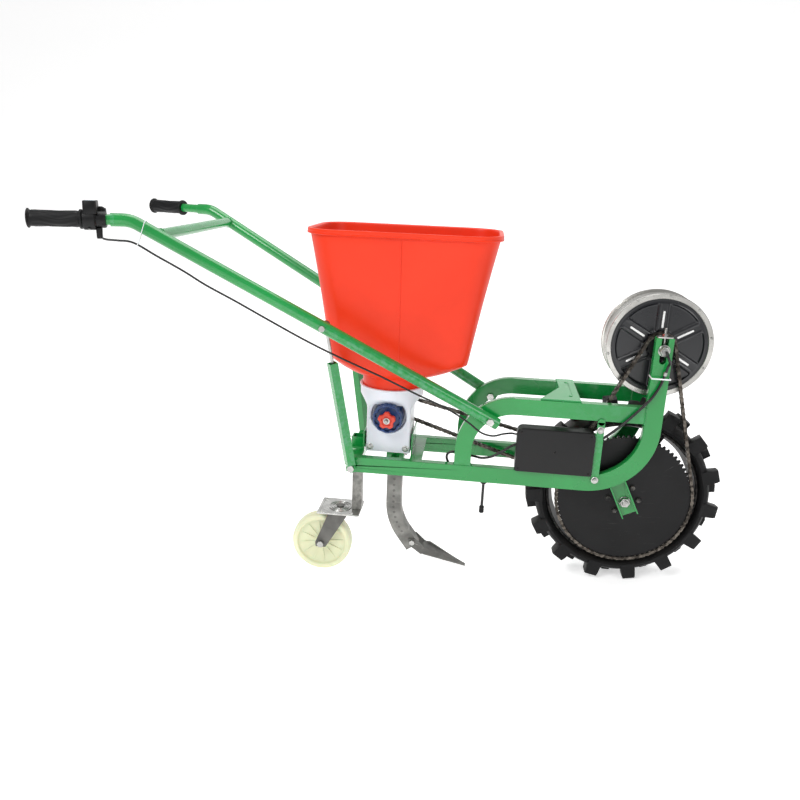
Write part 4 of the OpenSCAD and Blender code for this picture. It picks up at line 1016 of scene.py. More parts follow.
class SEEDER_OT_seed_meter(Operator):
    """Build the meter housing, the seed roller and its lobed nut"""

    bl_idname = "seeder.seed_meter"
    bl_label = "Seed meter"

    def housing(self):
        half = 56 * MM
        base = METER.z - 95.5 * MM
        collar_top = 236 * MM
        outer = Shape()
        rings = [oblong(METER.x, 112 * MM, 112 * MM, 4 * MM, base, 12),
                 oblong(METER.x, 111 * MM, 111 * MM, 6 * MM, base + 3 * MM, 12),
                 oblong(METER.x, 110 * MM, 110.6 * MM, 7 * MM, 185 * MM, 12)]
        for k in range(1, 7):
            t = k / 6
            wide = (110 + 48 * t) * MM
            rings.append(oblong(METER.x, wide, wide, (7 + 72 * t) * MM, (185 + 26 * t ** 0.8) * MM, 12))
        round_neck = [(79 * MM, collar_top - 5 * MM), (81 * MM, collar_top - 4 * MM),
                      (81.5 * MM, collar_top - 1.5 * MM),
                      (80 * MM, collar_top), (76 * MM, collar_top), (74.6 * MM, collar_top - 1.5 * MM),
                      (74.6 * MM, 212 * MM)]
        rings += [oblong(METER.x, 2 * r, 2 * r, r, z, 12) for r, z in round_neck]
        outer.loft(rings)
        body = put("meter_housing_moulded", outer, [housing_plastic()], None)
        hole = Shape(side(METER.x, 0, METER.z))
        hole.lathe([(0, 34 * MM), (43.2 * MM, 34 * MM), (44 * MM, 35 * MM), (44 * MM, half - 1.2 * MM),
                    (45.6 * MM, half + 0.2 * MM), (45.6 * MM, half + 6 * MM), (0, half + 6 * MM)], 96)
        cut(body, hole)
        inside = Shape(side(METER.x, 0, METER.z))
        inside.rod(extent("seed_roller").z / 2 + 0.4 * MM, -31 * MM, 54 * MM, 0.3 * MM, 72)
        cut(body, inside)
        body.data.set_sharp_from_angle(angle=math.radians(32))
        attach(body, "frame")
        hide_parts("meter_housing")
        return half, base

    def trim(self, half, base):
        """Rim round the opening, a pressed wave under it and the bolts at the foot."""
        shape = Shape(side(METER.x, 0, METER.z))
        shape.lathe([(45.4 * MM, half - 1.5 * MM), (45.4 * MM, half + 0.7 * MM), (46 * MM, half + 1 * MM),
                     (47.4 * MM, half + 0.7 * MM), (47.8 * MM, half - 1.5 * MM)], 96)
        wave = []
        for k in range(41):
            a = math.radians(196 + 128 * k / 40)
            r = (52.5 + 3.0 * math.sin(3 * a)) * MM
            wave.append((METER.x + r * math.cos(a), -half + 0.25 * MM,
                         METER.z + 4 * MM + r * 0.9 * math.sin(a)))
        shape.at = Matrix.Identity(4)
        shape.tube(wave, 0.7 * MM, 8)
        put("meter_housing_rim", shape, [housing_plastic()], "frame")
        bolts = Shape()
        for left in (False, True):
            for x in (-44.5 * MM, 44.5 * MM):
                bolts.at = side(METER.x + x, (1 if left else -1) * (half - 0.6 * MM), base + 12 * MM, left)
                bolts.bolt(9.6 * MM, 4 * MM, 8.2 * MM, 0.8 * MM)
        put("meter_screws", bolts, [zinc()], "frame", ["meter_bolts"])

    def roller(self, radius):
        near = 84 * MM
        shape = Shape(side(METER.x, 0, METER.z))
        around = 240

        def flute(angle):
            """Fine flutes along the part that stands out."""
            return 0.5 + 0.5 * math.cos(20 * angle)

        rings = []
        for k in range(around):
            a = 2 * math.pi * k / around
            c, s = math.cos(a), math.sin(a)
            ridge = radius - 1.5 * MM * smooth(flute(a), 0.45, 0.8)
            petal = 3.6 * MM * smooth(math.cos(10 * a), -0.1, 0.5)
            profile = [(5.2 * MM, -29.5 * MM), (radius - 1 * MM, -29.5 * MM), (radius, -28 * MM),
                       (radius, 52 * MM),
                       (ridge, 56 * MM), (ridge, near - 7 * MM), (ridge - 0.6 * MM, near - 5 * MM),
                       (radius - 1 * MM - petal * 0.4, near - 1 * MM),
                       (radius - 2 * MM - petal * 0.5, near),
                       (radius - 4.6 * MM - petal * 0.4, near), (radius - 5.4 * MM - petal, near - 2 * MM),
                       (radius - 5.6 * MM - petal, near - 8 * MM), (12 * MM, near - 8 * MM),
                       (11 * MM, near - 1 * MM),
                       (5.2 * MM, near - 1 * MM)]
            rings.append([(r * c, r * s, z) for r, z in profile])
        shape.loft(rings, joined=True)
        put("seed_roller_fluted", shape, [roller_plastic()], "seed_meter", ["seed_roller"],
            sharp=40)
        paint(["meter_sprocket"], black_paint(), 0.4 * MM)

    def shaft(self):
        shape = Shape(side(METER.x, 0, METER.z))
        shape.rod(5 * MM, -75 * MM, 92 * MM)
        shape.thread(5 * MM, 91 * MM, 103 * MM, 1.5 * MM, 32)
        shape.rod(4 * MM, 102 * MM, 106 * MM, 0.8 * MM)
        shape.rod(8 * MM, -56 * MM, -30.4 * MM)
        put("roller_shaft_threaded", shape, [bare_steel()], "seed_meter", ["meter_shaft"])

    def knob(self):
        shape = Shape(side(METER.x, 0, METER.z))
        outline = []
        for k in range(120):
            a = 2 * math.pi * k / 120
            lobe = smooth(math.cos(5 * (a - math.radians(90))), -1.0, 0.6)
            outline.append((a, 17.4 * MM + 4.4 * MM * lobe))
        base = 87 * MM
        stations = ((1.0, 0.96, 0), (1.0, 1.0, 1.4), (1.0, 1.0, 9.0), (1.0, 0.95, 11.0), (1.0, 0.88, 11.6),
                    (1.0, 0.62, 11.6), (1.0, 0.56, 9.4), (0.0, 9.0, 9.4), (0.0, 8.6, 11.2),
                    (0.0, 5.4, 11.2))
        rings = []
        for lobed, scale, z in stations:
            ring = []
            for a, r in outline:
                radius = r * scale if lobed else scale * MM
                ring.append((radius * math.cos(a), radius * math.sin(a), base + z * MM))
            rings.append(ring)
        shape.loft(rings, ends=False)
        shape.loft([rings[0], [(5.4 * MM * math.cos(a), 5.4 * MM * math.sin(a), base) for a, _ in outline]],
                   ends=False)
        put("lobed_nut", shape, [knob_plastic()], "roller_nut", ["flower_nut"], sharp=40)
        lock = Shape(side(METER.x, -98.4 * MM, METER.z))
        lock.lathe([(5.1 * MM, 0), (8 * MM, 0), (8 * MM, 0.8 * MM), (5.1 * MM, 0.8 * MM)], 32)
        put("knob_insert", lock, [zinc()], "roller_nut")

    def execute(self, context):
        half, base = self.housing()
        self.trim(half, base)
        self.roller(context.scene.seeder_sizes.roller_radius)
        self.shaft()
        self.knob()
        paint(["seed_brush"], bristle())
        return {"FINISHED"}


class SEEDER_OT_hopper(Operator):
    """Build the blown seed hopper with its rolled rim"""

    bl_idname = "seeder.hopper"
    bl_label = "Hopper"

    def execute(self, context):
        wall = context.scene.seeder_sizes.hopper_wall
        rim_x, low_x = -562 * MM, -566 * MM
        rim = (rim_x, 434 * MM, 268 * MM, 66 * MM)
        shoulder = (low_x, 330 * MM, 190 * MM, 44 * MM)
        neck = (METER.x, 148 * MM, 148 * MM, 74 * MM)

        def between(a, b, t):
            return [p + (q - p) * t for p, q in zip(a, b)]

        levels = [(210.4 * MM, neck), (250 * MM, neck), (262 * MM, neck)]
        for k in range(1, 9):
            t = k / 8
            levels.append(((262 + 46 * (0.72 * t + 0.28 * t * t)) * MM, between(neck, shoulder, t ** 0.82)))
        for k in range(1, 15):
            t = k / 14
            flat = 1 - 0.010 * math.sin(math.pi * t)
            size = between(shoulder, rim, t)
            levels.append(((308 + 293 * t) * MM, [size[0], size[1] * flat, size[2] * flat,
                                                  size[3] * (0.72 + 0.28 * t)]))

        def ring(size, z, out=0.0):
            x, length, width, corner = size
            return oblong(x, length + 2 * out, width + 2 * out, corner + out, z, 10)

        lip = [(0.0, 601.5), (3.5, 602.5), (7.2, 603), (8.0, 604), (8.0, 606.5), (7.0, 607.5), (7.4, 609),
               (7.4, 613),
               (6.2, 614.7), (4.0, 615), (0.0, 614.6), (-2.0, 613), (-3.0, 610)]
        shape = Shape()
        rings = [ring(size, z) for z, size in levels]
        rings += [ring(rim, z * MM, out * MM) for out, z in lip]
        rings += [ring(size, z + (wall if z > 262 * MM else 0), -wall) for z, size in reversed(levels)]
        shape.loft(rings, joined=True)
        put("hopper_blown", shape, [hopper_plastic()], "frame", ["hopper"], sharp=28)
        seam = Shape()
        for way in (-1, 1):
            line = []
            for k in range(25):
                z = (308 + 290 * k / 24) * MM
                width = 190 + 78 * k / 24 * (1 - 0.010 * math.sin(math.pi * k / 24))
                line.append((rim_x, way * (width / 2 - 0.1 - 0.8 * math.sin(math.pi * k / 24)) * MM, z))
            seam.tube(line, 0.8 * MM, 8)
        put("hopper_parting_line", seam, [hopper_plastic()], "frame")
        return {"FINISHED"}


class SEEDER_OT_opener(Operator):
    """Finish the furrow opener: dimples along its side, and its share"""

    bl_idname = "seeder.opener"
    bl_label = "Opener"

    def execute(self, context):
        paint(["opener_tube"], weathered_steel(), 0.8 * MM)
        paint(["share_point"], fork_steel(), 0.8 * MM)
        paint(["caster_stem"], weathered_steel(), 0.8 * MM)
        dimples = Shape()
        x, bend = -570 * MM, 150 * MM
        places = [(x, z * MM) for z in range(12, -85, -16)]
        for k in range(1, 7):
            a = math.radians(180 + 5.6 * k)
            places.append((x + bend + bend * math.cos(a), -84 * MM + bend * math.sin(a)))
        for left in (False, True):
            for px, pz in places:
                dimples.at = side(px, (1 if left else -1) * 16 * MM, pz, left)
                dimples.lathe([(0, 0.05 * MM), (1.6 * MM, 0.1 * MM), (2.4 * MM, 0.5 * MM),
                               (3.2 * MM, 0.3 * MM),
                               (3.6 * MM, -0.2 * MM)], 20)
        put("opener_dimples", dimples, [fork_steel()], "opener")
        for name, way, x, y, z in (("caster_clamp_screw", -1, -684 * MM, 0, 76.5 * MM),
                                   ("opener_clamp_screw", 1, -547.4 * MM, 0, 50.5 * MM)):
            place = facing((x, y, z), (way, 0, 0))
            shape = Shape(place)
            shape.rod(4 * MM, -2.5 * MM, 3 * MM)
            shape.at = place @ Matrix.Translation((0, 0, 0.4 * MM))
            shape.bolt(13 * MM, 5 * MM, 9 * MM)
            put(name, shape, [zinc()], "frame")
        return {"FINISHED"}


class SEEDER_OT_caster(Operator):
    """Build the nylon caster wheel and finish its fork and plate"""

    bl_idname = "seeder.caster"
    bl_label = "Caster"

    def execute(self, context):
        radius = extent("caster_wheel").z / 2
        half = extent("caster_wheel").y / 2
        wheel = Shape(side(CASTER.x, 0, CASTER.z))
        face = [(5.2 * MM, half - 1 * MM), (6 * MM, half), (14 * MM, half), (16 * MM, half - 1 * MM),
                (17.5 * MM, half - 8 * MM),
                (20 * MM, half - 10.5 * MM), (40 * MM, half - 11.5 * MM), (58 * MM, half - 10 * MM),
                (63 * MM, half - 7 * MM),
                (65 * MM, half - 1.5 * MM), (67 * MM, half), (74 * MM, half - 0.6 * MM),
                (78 * MM, half - 3.5 * MM),
                (radius - 0.4 * MM, half - 8 * MM), (radius, 0)]
        wheel.lathe(face + [(r, -z) for r, z in reversed(face[:-1])], 96, closed=True)
        for left in (False, True):
            for k in range(12):
                wheel.at = side(CASTER.x, 0, CASTER.z, left) @ Matrix.Rotation(math.radians(30 * k + 8), 4,
                                                                               "Z")
                wheel.loft([[(15 * MM, -1.3 * MM, z), (15 * MM, 1.3 * MM, z), (65.5 * MM, 1.1 * MM, z),
                             (65.5 * MM, -1.1 * MM, z)]
                            for z in (half - 12 * MM, half - 9 * MM)])
        put("caster_wheel_ribbed", wheel, [nylon()], "caster_roll", ["caster_wheel"],
            sharp=30)
        paint(["caster_fork"], fork_steel(), 0.9 * MM)
        paint(["caster_plate"], zinc(), 0.7 * MM)
        ball = Shape(Matrix.Translation((SWIVEL.x, 0, CASTER.z + radius + 14 * MM)))
        ball.lathe([(8 * MM, 3.6 * MM), (27 * MM, 3.55 * MM), (28.5 * MM, 3.8 * MM), (28.5 * MM, 3.9 * MM),
                    (8 * MM, 3.95 * MM)], 60)
        rings = Shape(Matrix.Translation((SWIVEL.x, 0, CASTER.z + radius + 22 * MM)))
        for r in (14 * MM, 20.5 * MM, 27.5 * MM):
            rings.lathe([(r, -0.5 * MM), (r + 0.6 * MM, 1.4 * MM), (r + 1.8 * MM, 2.2 * MM),
                         (r + 3 * MM, 1.4 * MM),
                         (r + 3.6 * MM, -0.5 * MM)], 72)
        put("plate_rings", rings, [zinc()], "caster_mount")
        put("swivel_race", ball, [zinc()], "caster_swivel")
        return {"FINISHED"}


class SEEDER_OT_handles(Operator):
    """Finish the handlebars and build the grips and the throttle"""

    bl_idname = "seeder.handles"
    bl_label = "Handles"

    def bar(self, left):
        """A shape's place on a bar: X runs from the grip's end towards the bend."""
        turn = math.atan2(BAR_DIRECTION.y, BAR_DIRECTION.x)
        place = Vector(BAR_END)
        if left:
            place.y, turn = -place.y, -turn
        return Matrix.Translation(place) @ Matrix.Rotation(turn, 4, "Z")

    def grip(self, name, node, body, left, radius):
        shape = Shape(self.bar(left))
        start, end = -3.2 * MM, 104.8 * MM
        around, along = 144, 110
        rings = []
        for i in range(along + 1):
            t = i / along
            s = start + (end - start) * t
            flange = 3.4 * MM * (1 - smooth(t, 0.025, 0.05)) + 3.4 * MM * smooth(t, 0.935, 0.955)
            crown = -3.0 * MM * (1 - smooth(t, 0.0, 0.012)) - 1.2 * MM * smooth(t, 0.985, 1.0)
            waist = -0.9 * MM * math.sin(math.pi * t)
            held = smooth(t, 0.08, 0.13) * (1 - smooth(t, 0.88, 0.92))
            ring = []
            for k in range(around):
                a = 2 * math.pi * k / around
                flow = math.sin(9 * a + 2.2 * math.sin(2.6 * math.pi * t) + 1.3 * math.sin(2 * a))
                rib = 0.75 * MM * smooth(flow, -0.5, 0.5) * held
                end_rings = 0.35 * MM * math.sin(150 * t) * (1 - held) if 0.05 < t < 0.13 else 0
                r = radius - 1.0 * MM + rib + flange + crown + waist + end_rings
                ring.append((s, r * math.cos(a), r * math.sin(a)))
            rings.append(ring)
        rings.append([(end, 11.3 * MM * math.cos(2 * math.pi * k / around),
                       11.3 * MM * math.sin(2 * math.pi * k / around))
                      for k in range(around)])
        shape.loft(rings)
        put(name, shape, [grip_rubber()], body, [node], sharp=50)

    def throttle(self):
        x = 105.8 * MM
        at = self.bar(False)
        case = Shape(at @ Matrix.Translation((x, 0, 0)) @ Matrix.Rotation(math.radians(90), 4, "Y"))
        case.lathe([(11.1 * MM, 0), (20.5 * MM, 0), (22 * MM, 1.5 * MM), (22.4 * MM, 10 * MM),
                    (22 * MM, 24 * MM),
                    (20 * MM, 26 * MM), (17.5 * MM, 27.5 * MM), (17.3 * MM, 43 * MM), (15.8 * MM, 46 * MM),
                    (11.1 * MM, 46 * MM)],
                   72, closed=True)
        case.at = at
        for low, high, taper in (((2, -20.5, 12), (31, 16.5, 39), 0.93),
                                 ((0, -18, -19.5), (25.5, 18, -6), 0.8),
                                 ((24.5, -11.5, -39), (37.5, 1.5, -17), 0.9),
                                 ((22.5, 2.5, 9), (45.5, 19.5, 23), 0.9)):
            (x0, y0, z0), (x1, y1, z1) = low, high
            mid = ((x0 + x1) / 2, (y0 + y1) / 2)
            rings = []
            up = z0 > -10
            for share, z in ((0.0, z0), (0.25, z0 + 2), (0.85, z1 - 1.5), (1.0, z1)):
                scale = 1 - (1 - taper) * (share if up else 1 - share)
                if share in (0.0, 1.0):
                    scale -= 0.05
                ring = oblong(0, (x1 - x0) * scale, (y1 - y0) * scale, 4.5 * scale, z, 5)
                rings.append([(x + (mid[0] + px) * MM, (mid[1] + py) * MM, pz * MM) for px, py, pz in ring])
            case.loft(rings)
        put("throttle_case", case, [black_plastic()], "handle", ["throttle_housing"], round_by=0.5 * MM)
        window = Shape(at)
        ring = oblong(0, 19.5 * MM, 26 * MM, 5 * MM, 0, 6)
        levels = ((1.0, 38.9), (1.0, 39.3), (0.93, 39.75))
        window.loft([[(x + 16.5 * MM + px * s, -2 * MM + py * s, z * MM) for px, py, _ in ring] for s,
                     z in levels])
        put("display_window", window, [display_glass()], "handle", ["throttle_display"])
        trim = Shape(at @ Matrix.Translation((x + 34.5 * MM, 11 * MM, 0)))
        trim.lathe([(5.3 * MM, 22.5 * MM), (7.2 * MM, 22.6 * MM), (7.0 * MM, 24.6 * MM),
                    (5.6 * MM, 25 * MM), (5.3 * MM, 24.6 * MM)],
                   40, closed=True)
        put("button_collar", trim, [black_plastic()], "handle")
        button = Shape(at @ Matrix.Translation((x + 34 * MM, 11 * MM, 0)))
        button.lathe([(0, 20.4 * MM), (4.8 * MM, 20.4 * MM), (4.8 * MM, 25.4 * MM), (4.3 * MM, 26.3 * MM),
                      (2.5 * MM, 26.5 * MM),
                      (0, 26.2 * MM)], 36)
        put("power_button_domed", button, [black_plastic()], "button", ["power_button"])
        screws = Shape()
        for y, z in ((-15, -9), (14, -9)):
            screws.at = at @ Matrix.Translation((x + 13 * MM, y * MM,
                                                 z * MM)) @ Matrix.Rotation(math.radians(180), 4, "X")
            screws.lathe([(0, 9.6 * MM), (1 * MM, 9.6 * MM), (1.2 * MM, 10.9 * MM), (2.6 * MM, 10.6 * MM),
                          (2.9 * MM, 9.6 * MM)], 20)
        put("throttle_screws", screws, [zinc()], "handle")

    def execute(self, context):
        sizes = context.scene.seeder_sizes
        paint(["handle_right", "handle_left"], frame_paint())
        self.grip("grip_left_moulded", "grip_left", "handle", True, sizes.grip_radius)
        self.grip("grip_throttle_moulded", "throttle_grip", "throttle", False, sizes.grip_radius)
        self.throttle()
        beads = Shape()
        for way in (-1, 1):
            ring = []
            for k in range(24):
                a = 2 * math.pi * k / 24
                ring.append((-1078 * MM + 12.6 * MM * math.cos(a), way * 216 * MM,
                             middle_of_cross()[1] + 12.6 * MM * math.sin(a)))
            weld_bead(beads, ring, 1.6 * MM)
        put("crossbar_welds", beads, [frame_paint()], "handle")
        return {"FINISHED"}


def middle_of_cross():
    """Place of the handle's cross bar, level, from the pivot and the bend."""
    pivot, bend = joint_at("handle_tilt"), Vector((-1132 * MM, 0, 622 * MM))
    share = (-1078 * MM - pivot.x) / (bend.x - pivot.x)
    return -1078 * MM, pivot.z + share * (bend.z - pivot.z)


class SEEDER_OT_braces(Operator):
    """Finish the square brace tubes and their rods"""

    bl_idname = "seeder.braces"
    bl_label = "Braces"

    def execute(self, context):
        paint(["brace_tubes"], frame_paint(), 0.8 * MM)
        paint(["brace_rod_right", "brace_rod_left"], bare_steel(), 0.4 * MM)
        return {"FINISHED"}


class SEEDER_OT_controller(Operator):
    """Build the controller box with its screws and the strap that holds it"""

    bl_idname = "seeder.controller"
    bl_label = "Controller"

    def outline(self, inset, y):
        """The box's upright outline at a depth, its top corners rounder than its bottom ones."""
        left, right, low, high = (-272 * MM + inset, -90 * MM - inset, 67.7 * MM + inset,
                                  177.7 * MM - inset)
        points = []
        corners = ((right, high, 14 * MM, 0), (left, high, 14 * MM, 90), (left, low, 4 * MM, 180),
                   (right, low, 4 * MM, 270))
        for x, z, corner, first in corners:
            corner = max(corner - inset, 1 * MM)
            cx = x - corner if x == right else x + corner
            cz = z - corner if z == high else z + corner
            for k in range(9):
                a = math.radians(first + 90 * k / 8)
                points.append((cx + corner * math.cos(a), y, cz + corner * math.sin(a)))
        return points

    def execute(self, context):
        near = -112 * MM
        case = Shape()
        depths = ((3.2, 0), (1.4, 0.35), (0.4, 1.3), (0, 3), (0, 25.6), (0.9, 26.0), (0.9, 26.8), (0, 27.2),
                  (0, 33), (1, 35), (3, 36))
        case.loft([self.outline(inset * MM, near + depth * MM) for inset, depth in depths])
        put("controller_case", case, [box_paint()], "frame", ["controller_box"], sharp=40)
        screws = Shape()
        for x, z, r in ((-181, 122.7, 3.6), (-264, 75.5, 2.4), (-98, 75.5, 2.4), (-262, 168, 2.4),
                        (-100, 168, 2.4)):
            screws.at = side(x * MM, near + 0.2 * MM, z * MM)
            screws.lathe([(0, 0.3 * MM), (r * 0.35 * MM, 0.3 * MM), (r * 0.42 * MM, 1.1 * MM),
                          (r * 0.8 * MM, 1.0 * MM), (r * MM, 0.2 * MM),
                          (r * MM, -0.5 * MM)], 24)
        put("controller_screws", screws, [black_paint()], "frame")
        strap = Shape()
        strap.loft([[(x * MM, y * MM, z * MM) for x, y in ((-89, -104.2), (-72, -104.2), (-72, -100.4),
                                                           (-89, -100.4))]
                    for z in (50, 203)])
        strap.at = side(-80.5 * MM, 0, 203 * MM)
        strap.rod(8.5 * MM, 100.4 * MM, 104.2 * MM)
        strap.at = Matrix.Identity(4)
        strap.block((-92 * MM, -104.2 * MM, 84 * MM), (-88 * MM, -84 * MM, 170 * MM))
        put("controller_strap", strap, [frame_paint()], "frame", round_by=0.8 * MM)
        bolts = Shape()
        for z in (184, 58):
            bolts.at = side(-80.5 * MM, -104.2 * MM, z * MM)
            bolts.bolt(10 * MM, 4 * MM, 8.4 * MM, 1.5 * MM)
        put("strap_bolts", bolts, [zinc()], "frame")
        paint(["controller_insides"], cell_wrap())
        return {"FINISHED"}


class SEEDER_OT_cables(Operator):
    """Lay the throttle, motor and charging cables and the ties that hold them"""

    bl_idname = "seeder.cables"
    bl_label = "Cables"

    throttle_route = (
        (-1176, -280, 585), (-1166, -279, 583), (-1145, -276, 582), (-1115, -268, 578), (-1070, -259, 552),
        (-1015, -252, 522),
        (-968, -248, 494), (-907, -240, 462), (-840, -228, 424), (-764, -212, 381), (-690, -196, 343),
        (-590, -178, 297),
        (-516, -160, 259), (-440, -146, 223), (-390, -140, 192), (-358, -137, 168), (-330, -132, 160),
        (-306, -116, 161),
        (-286, -97, 158), (-277, -94, 156), (-270, -94, 156),
    )
    motor_route = (
        (39, -119, 381), (39, -128, 379), (42, -131, 370), (48, -124, 360), (48, -112, 348),
        (44, -107, 323), (37, -107, 299),
        (24, -107, 272), (6, -107, 248), (-16, -107, 222), (-40, -107, 196), (-62, -105, 174),
        (-78, -99, 158), (-90, -96, 151),
    )
    charge_route = (
        (-272, -90, 129), (-286, -91, 121), (-304, -93, 108), (-326, -93, 94), (-350, -88, 86),
        (-372, -77, 85), (-398, -72, 85),
        (-420, -71, 90), (-434, -71, 84), (-436, -72, 72), (-430, -74, 60), (-424, -76.8, 52),
    )

    def line(self, route, steps=6):
        return curve([Vector(p) * MM for p in route], steps)

    def cable(self, name, route, radius, node, stiffness, lay, far_end="object", pieces=()):
        """A cable as a round curve along its route, with the given radius."""
        points = [STAND @ p for p in self.line(route)]
        shape = bpy.data.curves.new(name, "CURVE")
        shape.dimensions = "3D"
        shape.bevel_depth = radius
        shape.bevel_resolution = 5
        shape.use_fill_caps = True
        shape.materials.append(cable_rubber())
        spline = shape.splines.new("POLY")
        spline.points.add(len(points) - 1)
        for place, point in zip(spline.points, points):
            place.co = (*point, 1)
        spline.use_smooth = True
        cable = bpy.data.objects.new(name, shape)
        bpy.context.collection.objects.link(cable)
        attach(cable, "frame")
        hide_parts(node)

    def throttle(self, radius):
        """The throttle cable as one tube from the grip, past the handle's pivot."""
        line = self.line(self.throttle_route)
        shape = Shape()
        shape.tube(line, radius, 16)
        cable = put("throttle_cable_laid", shape, [cable_rubber()], None, ["throttle_cable"],
                    sharp=60)
        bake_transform(cable)

    def lead(self):
        """The short charging lead and the connector at its end."""
        end = Shape(Matrix.Translation((-342 * MM, -90 * MM, 0)))
        end.lathe([(0, -57.5 * MM), (4.6 * MM, -57.5 * MM), (6 * MM, -56.4 * MM), (6 * MM, -48 * MM),
                   (5.5 * MM, -47.2 * MM),
                   (6 * MM, -46.4 * MM), (6 * MM, -41.5 * MM), (4.8 * MM, -39.6 * MM),
                   (3.4 * MM, -39.5 * MM), (3.3 * MM, -42 * MM),
                   (0, -42 * MM)], 36)
        plug = put("lead_connector", end, [black_plastic()], "frame")
        self.cable("charge_lead_hanging", ((-342, -90, 20.5), (-342, -90, 1), (-342, -90, -20),
                                           (-342, -90, -41.5)), 3.4 * MM,
                   "charge_lead", "medium", "hanging", "connector", [plug])
        gland = Shape(Matrix.Translation((-342 * MM, -90 * MM, 0)))
        gland.lathe([(3.5 * MM, 20.5 * MM), (6.5 * MM, 20.6 * MM), (7.4 * MM, 21.6 * MM),
                     (7.4 * MM, 23 * MM), (9 * MM, 23.2 * MM),
                     (9 * MM, 26.5 * MM), (3.5 * MM, 26.5 * MM)], 6, closed=True)
        put("lead_gland", gland, [black_plastic()], "frame")

    def handle_tie(self):
        """A tie that loops round the right bar and the throttle cable."""
        pivot, bend = Vector((-338, -116, 193)) * MM, Vector((-1132, -240, 622)) * MM
        bar, cable = pivot.lerp(bend, 0.9685), Vector((-1106, -266, 576)) * MM
        along = (bend - pivot).normalized()
        across = cable - bar
        across = (across - along * across.dot(along)).normalized()
        beside = along.cross(across)
        loop = []
        for centre, radius, first in ((bar, 15 * MM, 100), (cable, 3.4 * MM, -80)):
            for k in range(17):
                a = math.radians(first + 10 * k)
                loop.append(centre + across * radius * math.cos(a) + beside * radius * math.sin(a))
        shape = Shape()
        shape.tube(loop + loop[:1], 0.9 * MM, 8)
        return shape

    def execute(self, context):
        scene = context.scene
        self.throttle(scene.seeder_sizes.cable)
        self.cable("motor_cable_laid", self.motor_route, 3.2 * MM, "motor_cable", "stiff", "taut")
        self.cable("charge_cable_laid", self.charge_route, 3 * MM, "charge_cable", "stiff", "loose")
        self.lead()
        paint(["ties"], tie_nylon(), 0.3 * MM)
        crimp = Shape()
        crimp.tube([Vector((45.4, -107.6, 334)) * MM, Vector((44.4, -107.1, 326)) * MM], 4.4 * MM, 20)
        put("handle_tie", self.handle_tie(), [tie_nylon()], "handle")
        put("motor_cable_crimp", crimp, [bare_steel()], "frame")
        return {"FINISHED"}


class SEEDER_OT_stage(Operator):
    """Set the floor, the soft lights and the camera"""

    bl_idname = "seeder.stage"
    bl_label = "Stage"

    def execute(self, context):
        scene = context.scene
        camera = bpy.data.objects.new("Camera", bpy.data.cameras.new("Camera"))
        camera.data.lens = 33.5
        camera.data.sensor_width = 36
        camera.matrix_world = (Matrix.Translation(STAND @ Vector((-0.379, -1.790, 0.747)))
                               @ Matrix.Rotation(math.radians(7.39), 4,
                                                 "Z") @ Matrix.Rotation(math.radians(73.38), 4, "X")
                               @ Matrix.Rotation(math.radians(-2.643), 4, "Z"))
        scene.collection.objects.link(camera)
        scene.camera = camera
        mesh = bmesh.new()
        rows = []
        for k in range(33):
            t = k / 32
            angle = math.radians(80) * smooth(t, 0.45, 1.0)
            rows.append([mesh.verts.new((x, -6 + 14 * t, 7.5 * (1 - math.cos(angle)))) for x in (-16, 16)])
        for a, b in zip(rows, rows[1:]):
            mesh.faces.new((a[0], a[1], b[1], b[0])).smooth = True
        floor_mesh = bpy.data.meshes.new("Floor")
        mesh.to_mesh(floor_mesh)
        mesh.free()
        floor = bpy.data.objects.new("Floor", floor_mesh)
        white = bpy.data.materials.new("Studio floor")
        white.use_nodes = True
        shader = white.node_tree.nodes["Principled BSDF"]
        shader.inputs["Base Color"].default_value = (0.95, 0.95, 0.95, 1)
        shader.inputs["Roughness"].default_value = 0.75
        shader.inputs["Emission Color"].default_value = (1, 1, 1, 1)
        shader.inputs["Emission Strength"].default_value = 0.5
        floor_mesh.materials.append(white)
        scene.collection.objects.link(floor)
        world = bpy.data.worlds.new("Studio")
        world.use_nodes = True
        world.node_tree.nodes["Background"].inputs["Color"].default_value = (1, 1, 1, 1)
        world.node_tree.nodes["Background"].inputs["Strength"].default_value = 0.34
        scene.world = world
        lights = []
        for name, place, size, power in (("Key", (-1.5, -2.3, 2.9), 1.5, 64),
                                         ("Fill", (2.6, -2.0, 1.7), 1.3, 18),
                                         ("Top", (0.1, 0.6, 3.0), 2.0, 42),
                                         ("Low", (0.2, -3.2, 0.6), 1.2, 5)):
            lamp = bpy.data.lights.new(name, "AREA")
            lamp.size = size
            lamp.energy = power
            light = bpy.data.objects.new(name, lamp)
            light.location = place
            aim = Vector((0, 0, 0.45)) - Vector(place)
            light.rotation_euler = aim.to_track_quat("-Z", "Y").to_euler()
            scene.collection.objects.link(light)
            lights.append(light)
        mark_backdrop(floor, *lights)
        scene.view_settings.view_transform = "Standard"
        return {"FINISHED"}


STEPS = (
    "stage", "cables", "frame", "drive_wheel", "chains", "hub_motor", "fixings", "seed_meter", "hopper",
    "opener", "caster",
    "handles", "braces", "controller",
)


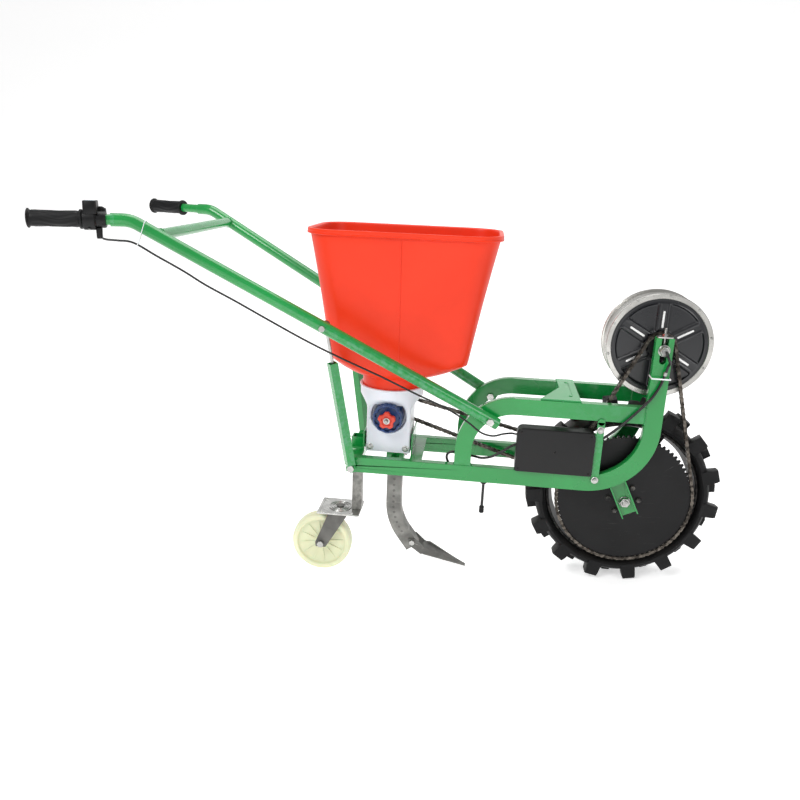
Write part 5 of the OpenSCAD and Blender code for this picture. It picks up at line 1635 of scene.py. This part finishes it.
class SEEDER_PT_panel(Panel):
    """The seeder's sizes, colours and pieces"""

    bl_label = "Push seeder"
    bl_idname = "SEEDER_PT_panel"
    bl_space_type = "VIEW_3D"
    bl_region_type = "UI"
    bl_category = "Seeder"

    def draw(self, context):
        layout = self.layout
        for title, values in (("Sizes", context.scene.seeder_sizes),
                              ("Colours", context.scene.seeder_colours)):
            box = layout.box()
            box.label(text=title)
            for name in values.__annotations__:
                box.prop(values, name)
        column = layout.column(align=True)
        for step in STEPS:
            column.operator("seeder." + step)


CLASSES = (
    SeederSizes, SeederColours, SEEDER_OT_stage, SEEDER_OT_cables, SEEDER_OT_frame, SEEDER_OT_drive_wheel,
    SEEDER_OT_chains,
    SEEDER_OT_hub_motor, SEEDER_OT_fixings, SEEDER_OT_seed_meter, SEEDER_OT_hopper, SEEDER_OT_opener,
    SEEDER_OT_caster,
    SEEDER_OT_handles, SEEDER_OT_braces, SEEDER_OT_controller, SEEDER_PT_panel,
)


def register():
    for item in CLASSES:
        bpy.utils.register_class(item)
    bpy.types.Scene.seeder_sizes = PointerProperty(type=SeederSizes)
    bpy.types.Scene.seeder_colours = PointerProperty(type=SeederColours)


def unregister():
    del bpy.types.Scene.seeder_colours
    del bpy.types.Scene.seeder_sizes
    for item in reversed(CLASSES):
        bpy.utils.unregister_class(item)


def visual_box():
    """The box round every visible piece, in metres."""
    bpy.context.view_layer.update()
    scene_state = bpy.context.evaluated_depsgraph_get()
    low, high = [1e9] * 3, [-1e9] * 3
    for piece in bpy.context.scene.objects:
        if piece.type not in {"MESH", "CURVE"} or piece.hide_render or "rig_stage" in piece:
            continue
        seen = piece.evaluated_get(scene_state)
        mesh = seen.to_mesh()
        for vertex in mesh.vertices:
            point = seen.matrix_world @ vertex.co
            low = [min(a, b) for a, b in zip(low, point)]
            high = [max(a, b) for a, b in zip(high, point)]
        seen.to_mesh_clear()
    return [low, high]


def main():
    register()
    for step in STEPS:
        getattr(bpy.ops.seeder, step)()
    sizes = {"cad_box": CAD_BOX, "visual_box": visual_box()}


if __name__ == "__main__":
    main()
